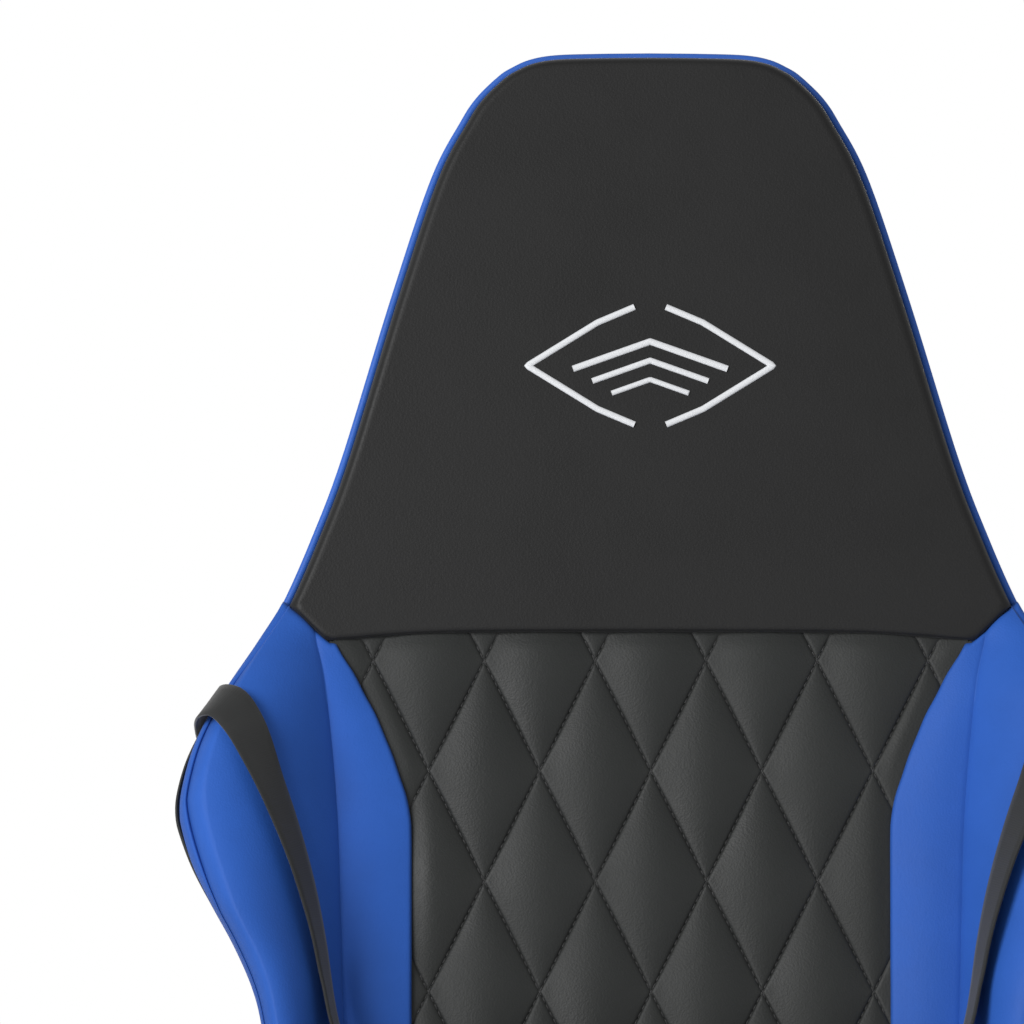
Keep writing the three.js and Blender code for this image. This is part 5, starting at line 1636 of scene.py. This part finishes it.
def refined_board():
    """The plywood seat board, the seat cover's hem stapled round it, and its screws."""
    refined("seat_board", "seat_board_panel", birch_plywood, "seat", 0.0008)
    low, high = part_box("seat_board")
    corners = [Vector(p[:2]) for p in coordinates(frame["nodes"]["seat_board"].data)]
    hull = [corners[i] for i in convex_hull_2d(corners)]
    loop = anticlockwise(spaced(np.array([tuple(p) for p in hull]), 0.004, closed=True))
    thick, hem = 0.0011, 0.020
    top, bottom = high.z - 0.0004, low.z
    section = [(0.0001, top), (-thick, top - 0.0004), (-thick, bottom + 0.001),
               (-thick * 0.6, bottom - thick * 0.8), (0.001, bottom - thick), (hem, bottom - thick),
               (hem + 0.0006, bottom - thick * 0.5), (hem, bottom - 0.0001), (0.0004, bottom - 0.0001),
               (-0.0001, bottom + 0.0006)]
    rings = [np.column_stack([drawn_in(loop, m), np.full(len(loop), z)]) for m, z in section]
    faces = quads(len(rings), len(loop), closed_rows=True, closed_columns=True)
    piece("seat_cover_hem", np.vstack(rings), faces, black_leather, "seat")
    crowns = []
    line = drawn_in(loop, hem * 0.72)
    run = np.roll(line, -1, 0) - np.roll(line, 1, 0)
    run /= np.linalg.norm(run, axis=1)[:, None]
    for i in range(0, len(line), 9):
        ends = [line[i] + run[i] * 0.005 * k for k in (-1, -0.94, -0.8, 0, 0.8, 0.94, 1)]
        sink = (-0.0006, 0.0001, 0.0004, 0.0004, 0.0004, 0.0001, -0.0006)
        path = [(x, y, bottom - thick - k) for (x, y), k in zip(ends, sink)]
        crowns.append(tube(path, 0.0004, 6))
    vertices, faces = several(crowns)
    piece("seat_cover_staples", vertices, faces, zinc_plate, "seat", sharp=80)
    heads = []
    for x in (-0.185, -0.14, 0.14, 0.185):
        for y in (0.0, 0.04):
            heads.append(bolt((x, y, low.z - 0.0104), (0, 0, -1), 0.004))
    for x in (-0.18, 0.18):
        for y in (0.112, 0.146):
            heads.append(bolt((x, y, low.z - 0.0064), (0, 0, -1), 0.004))
    vertices, faces = several(heads)
    piece("seat_board_screws", vertices, faces, zinc_plate, "seat", sharp=35)


def rounded_loop(half_x, half_y, corner, count=72):
    """A rectangle with round corners, evenly spaced."""
    points = []
    for k, (sx, sy) in enumerate(((1, 1), (-1, 1), (-1, -1), (1, -1))):
        for a in np.linspace(0, math.pi / 2, 12):
            turn = a + k * math.pi / 2
            points.append((sx * (half_x - corner) + corner * math.cos(turn),
                           sy * (half_y - corner) + corner * math.sin(turn)))
    return spaced(np.array(points), 4 * (half_x + half_y) / count, closed=True)


def make_arm_pad(name, body):
    """A soft arm pad: rounded all round, a shallow dish on top, and a parting line at its foot."""
    low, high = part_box(name)
    middle = (low + high) / 2
    half_x, half_y, tall = (high.x - low.x) / 2, (high.y - low.y) / 2, high.z - low.z
    loop = rounded_loop(half_x, half_y, half_x * 0.8)
    levels = [(0.5, 0.004), (0.5, 0.0), (0.0035, 0.0), (0.0012, 0.0012), (0.0012, 0.0042), (0.0004, 0.005),
              (0, 0.008), (0.0004, tall * 0.55), (0.002, tall * 0.76), (0.0055, tall * 0.91),
              (0.0105, tall * 0.985), (0.017, tall), (0.024, tall - 0.0006), (0.031, tall - 0.0014)]
    rings = []
    for margin, z in levels:
        shape = drawn_in(loop, margin) if margin < 0.4 else loop * 0.55
        rings.append(np.column_stack([shape, np.full(len(shape), z)]))
    vertices = np.vstack(rings)
    faces = quads(len(rings), len(loop), closed_columns=True)
    n = len(loop)
    faces += [tuple(range(n))]
    last = len(vertices) - n
    centre = np.append(vertices[last:, :2].mean(0), tall - 0.0018)
    vertices = np.vstack([vertices, centre])
    faces += [(last + i, last + (i + 1) % n, len(vertices) - 1) for i in range(n)]
    base = Matrix.Translation((middle.x, middle.y, low.z))
    piece(name + "_skin", placed(vertices, base), faces, soft_skin, body, replaces=[name])


def make_armrests():
    """Both armrests: upright, slider, key, pad and collar."""
    for name in ("left", "right"):
        refined(f"armrest_bracket_{name}", f"armrest_upright_{name}", moulded_nylon, "seat",
                0.0022, 3)
        refined(f"armrest_post_{name}", f"armrest_slider_{name}", smooth_nylon,
                f"armrest_{name}", 0.0012)
        refined(f"armrest_button_{name}", f"armrest_key_{name}", smooth_nylon,
                f"button_{name}", 0.0014, 3)
        make_arm_pad(f"armrest_pad_{name}", f"armrest_{name}")
        low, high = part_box(f"armrest_post_{name}")
        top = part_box(f"armrest_bracket_{name}")[1].z
        collar(name, (low.x + high.x) / 2, (low.y + high.y) / 2, top)


def collar(name, x, y, z):
    """A thin guide collar round the post where it leaves the upright."""
    angles = np.linspace(0, 2 * math.pi, 72, endpoint=False)
    cos, sin = np.cos(angles), np.sin(angles)
    power = 4.5  # of the superellipse that the collar follows
    reach = (np.abs(cos) ** power + np.abs(sin) ** power) ** (-1 / power)
    rows = []
    for half_x, half_y, height in (
        (0.0084, 0.0224, 0.0), (0.0125, 0.0282, 0.0), (0.0128, 0.0285, 0.0008),
        (0.0120, 0.0277, 0.0022), (0.0092, 0.0232, 0.0026), (0.0084, 0.0224, 0.0018),
    ):
        rows.append(np.column_stack([half_x * cos * reach, half_y * sin * reach, np.full(72, height)]))
    vertices = np.vstack(rows) + (x, y, z)
    faces = quads(len(rows), 72, closed_rows=True, closed_columns=True)
    piece(f"armrest_collar_{name}", vertices, faces, smooth_nylon, "seat", sharp=40)


# ---- Stage ----
def make_stage():
    """A pale floor and surround, soft light from three sides, and the camera."""
    scene = bpy.context.scene
    scene.view_settings.view_transform = "Standard"  # a white surround shows as white
    bpy.ops.mesh.primitive_plane_add(size=26, location=(0, 0, -0.0005))
    floor = bpy.context.object
    floor.name = "floor"
    # Matt painted board: an even pale ground with no reflections.
    pale = bpy.data.materials.new("pale matt paint")
    pale.use_nodes = True
    paint = pale.node_tree.nodes["Principled BSDF"]
    paint.inputs["Base Color"].default_value = (*linear("#e9e9ea"), 1)
    paint.inputs["Roughness"].default_value = 0.8
    floor.data.materials.append(pale)

    # The surroundings are white to look at and softer as a light.
    world = bpy.data.worlds.new("studio")
    scene.world = world
    world.use_nodes = True
    tree = world.node_tree
    sky = tree.nodes["Background"]
    sky.inputs["Color"].default_value = (1, 1, 1, 1)
    path = node(tree, "ShaderNodeLightPath")
    soft = node(tree, "ShaderNodeMapRange", {"To Min": 0.32, "To Max": 1.0},
                {"Value": path.outputs["Is Camera Ray"]})
    tree.links.new(soft.outputs[0], sky.inputs["Strength"])

    # Each light's place, width in metres and power in watts.
    lights = (
        ("key", (-2.9, -3.1, 2.3), 2.2, 165),
        ("fill", (2.8, -3.2, 1.4), 2.6, 12),
        ("back", (0.3, 4.5, 1.2), 2.4, 60),
    )
    target = Vector((0, 0.1, 0.75))
    for name, place, width, power in lights:
        data = bpy.data.lights.new(name, "AREA")
        data.size = width
        data.energy = power
        lamp = bpy.data.objects.new(name, data)
        lamp.location = place
        lamp.rotation_euler = (target - Vector(place)).to_track_quat("-Z", "Y").to_euler()
        lamp.visible_camera = False
        scene.collection.objects.link(lamp)

    # Straight on, level with the middle of the head, framing the back's upper half off centre.
    width_seen, away = 0.5837, 9.0  # metres
    data = bpy.data.cameras.new("camera")
    data.sensor_width = 36
    data.lens = 36 * away / width_seen
    camera = bpy.data.objects.new("camera", data)
    middle = in_row_frame(np.array([(-78.7, 15, 579.2)]))[0]
    camera.location = (middle[0], middle[1] - away, middle[2])
    camera.rotation_euler = (math.pi / 2, 0, 0)
    scene.collection.objects.link(camera)
    scene.camera = camera


# ---- The add-on ----
class CHAIR_OT_stage(bpy.types.Operator):
    """Sets up the floor, the light and the camera"""
    bl_idname = "chair.stage"
    bl_label = "Stage"

    def execute(self, context):
        make_stage()
        return {"FINISHED"}


class CHAIR_OT_head_panel(bpy.types.Operator):
    """Makes the padded head panel"""
    bl_idname = "chair.head_panel"
    bl_label = "Head panel"

    def execute(self, context):
        make_head_panel()
        return {"FINISHED"}


class CHAIR_OT_quilted_panel(bpy.types.Operator):
    """Makes the diamond-quilted centre"""
    bl_idname = "chair.quilted_panel"
    bl_label = "Quilted panel"

    def execute(self, context):
        make_quilted_panel()
        return {"FINISHED"}


class CHAIR_OT_wings(bpy.types.Operator):
    """Makes both wings' covers"""
    bl_idname = "chair.wings"
    bl_label = "Wings"

    def execute(self, context):
        make_wing(1, "wing_left")
        make_wing(-1, "wing_right")
        return {"FINISHED"}


class CHAIR_OT_rear_cover(bpy.types.Operator):
    """Makes the cover of the back's rear"""
    bl_idname = "chair.rear_cover"
    bl_label = "Rear cover"

    def execute(self, context):
        make_rear_cover()
        return {"FINISHED"}


class CHAIR_OT_head_piping(bpy.types.Operator):
    """Lays piping round the head"""
    bl_idname = "chair.head_piping"
    bl_label = "Head piping"

    def execute(self, context):
        make_head_piping()
        return {"FINISHED"}


class CHAIR_OT_stitching(bpy.types.Operator):
    """Sews the visible stitches"""
    bl_idname = "chair.stitching"
    bl_label = "Stitching"

    def execute(self, context):
        make_seam_stitching()
        return {"FINISHED"}


class CHAIR_OT_motif(bpy.types.Operator):
    """Embroiders the head panel"""
    bl_idname = "chair.motif"
    bl_label = "Motif"

    def execute(self, context):
        make_motif()
        return {"FINISHED"}


class CHAIR_OT_straps(bpy.types.Operator):
    """Makes the shoulder straps and sliders"""
    bl_idname = "chair.straps"
    bl_label = "Straps"

    def execute(self, context):
        make_straps()
        return {"FINISHED"}


class CHAIR_OT_lumbar_cushion(bpy.types.Operator):
    """Stuffs the lumbar cushion"""
    bl_idname = "chair.lumbar_cushion"
    bl_label = "Lumbar cushion"

    def execute(self, context):
        make_lumbar_cushion()
        return {"FINISHED"}


class CHAIR_OT_seat_cushion(bpy.types.Operator):
    """Stuffs and quilts the seat cushion"""
    bl_idname = "chair.seat_cushion"
    bl_label = "Seat cushion"

    def execute(self, context):
        make_seat_cushion()
        return {"FINISHED"}


class CHAIR_OT_seat_bolsters(bpy.types.Operator):
    """Stuffs the seat bolsters"""
    bl_idname = "chair.seat_bolsters"
    bl_label = "Seat bolsters"

    def execute(self, context):
        make_seat_bolsters()
        return {"FINISHED"}


class CHAIR_OT_armrests(bpy.types.Operator):
    """Finishes the armrests"""
    bl_idname = "chair.armrests"
    bl_label = "Armrests"

    def execute(self, context):
        make_armrests()
        return {"FINISHED"}


class CHAIR_OT_hinge(bpy.types.Operator):
    """Finishes the hinge, lever and seat board"""
    bl_idname = "chair.hinge"
    bl_label = "Recline hinge"

    def execute(self, context):
        make_hinge()
        return {"FINISHED"}


class CHAIR_OT_mechanism(bpy.types.Operator):
    """Finishes the tilt mechanism"""
    bl_idname = "chair.mechanism"
    bl_label = "Tilt mechanism"

    def execute(self, context):
        make_mechanism()
        return {"FINISHED"}


class CHAIR_OT_column(bpy.types.Operator):
    """Makes the telescopic covers"""
    bl_idname = "chair.column"
    bl_label = "Column covers"

    def execute(self, context):
        make_column_covers()
        return {"FINISHED"}


class CHAIR_OT_base(bpy.types.Operator):
    """Finishes the base and steel parts"""
    bl_idname = "chair.base"
    bl_label = "Star base"

    def execute(self, context):
        make_base()
        return {"FINISHED"}


class CHAIR_OT_casters(bpy.types.Operator):
    """Makes the wheels and hoods"""
    bl_idname = "chair.casters"
    bl_label = "Casters"

    def execute(self, context):
        make_casters()
        return {"FINISHED"}


OPERATORS = (
    CHAIR_OT_stage, CHAIR_OT_head_panel, CHAIR_OT_quilted_panel, CHAIR_OT_wings,
    CHAIR_OT_rear_cover, CHAIR_OT_head_piping, CHAIR_OT_stitching, CHAIR_OT_motif,
    CHAIR_OT_straps, CHAIR_OT_lumbar_cushion, CHAIR_OT_seat_cushion, CHAIR_OT_seat_bolsters,
    CHAIR_OT_armrests, CHAIR_OT_hinge, CHAIR_OT_mechanism, CHAIR_OT_column, CHAIR_OT_base,
    CHAIR_OT_casters,
)


class CHAIR_PT_panel(bpy.types.Panel):
    """The chair's pieces, colours and sizes."""
    bl_label = "Racing chair"
    bl_idname = "CHAIR_PT_panel"
    bl_space_type = "VIEW_3D"
    bl_region_type = "UI"
    bl_category = "Chair"

    def draw(self, context):
        for group in (context.scene.chair_colours, context.scene.chair_sizes):
            for key in group.bl_rna.properties.keys():
                if key not in ("rna_type", "name"):
                    self.layout.prop(group, key)
        for step in OPERATORS:
            self.layout.operator(step.bl_idname)


CLASSES = (ChairColours, ChairSizes, *OPERATORS, CHAIR_PT_panel)


def register():
    """Registers the classes and the scene's groups of colours and sizes."""
    for cls in CLASSES:
        bpy.utils.register_class(cls)
    bpy.types.Scene.chair_colours = bpy.props.PointerProperty(type=ChairColours)
    bpy.types.Scene.chair_sizes = bpy.props.PointerProperty(type=ChairSizes)


def unregister():
    """Takes away what register added."""
    del bpy.types.Scene.chair_colours
    del bpy.types.Scene.chair_sizes
    for cls in reversed(CLASSES):
        bpy.utils.unregister_class(cls)


def main():
    """Makes every piece."""
    register()
    bpy.ops.chair.stage()
    bpy.ops.chair.head_panel()
    bpy.ops.chair.quilted_panel()
    bpy.ops.chair.wings()
    bpy.ops.chair.rear_cover()
    bpy.ops.chair.head_piping()
    bpy.ops.chair.stitching()
    bpy.ops.chair.motif()
    bpy.ops.chair.straps()
    bpy.ops.chair.lumbar_cushion()
    bpy.ops.chair.seat_cushion()
    bpy.ops.chair.seat_bolsters()
    bpy.ops.chair.armrests()
    bpy.ops.chair.hinge()
    bpy.ops.chair.mechanism()
    bpy.ops.chair.column()
    bpy.ops.chair.base()
    bpy.ops.chair.casters()


if __name__ == "__main__":
    main()
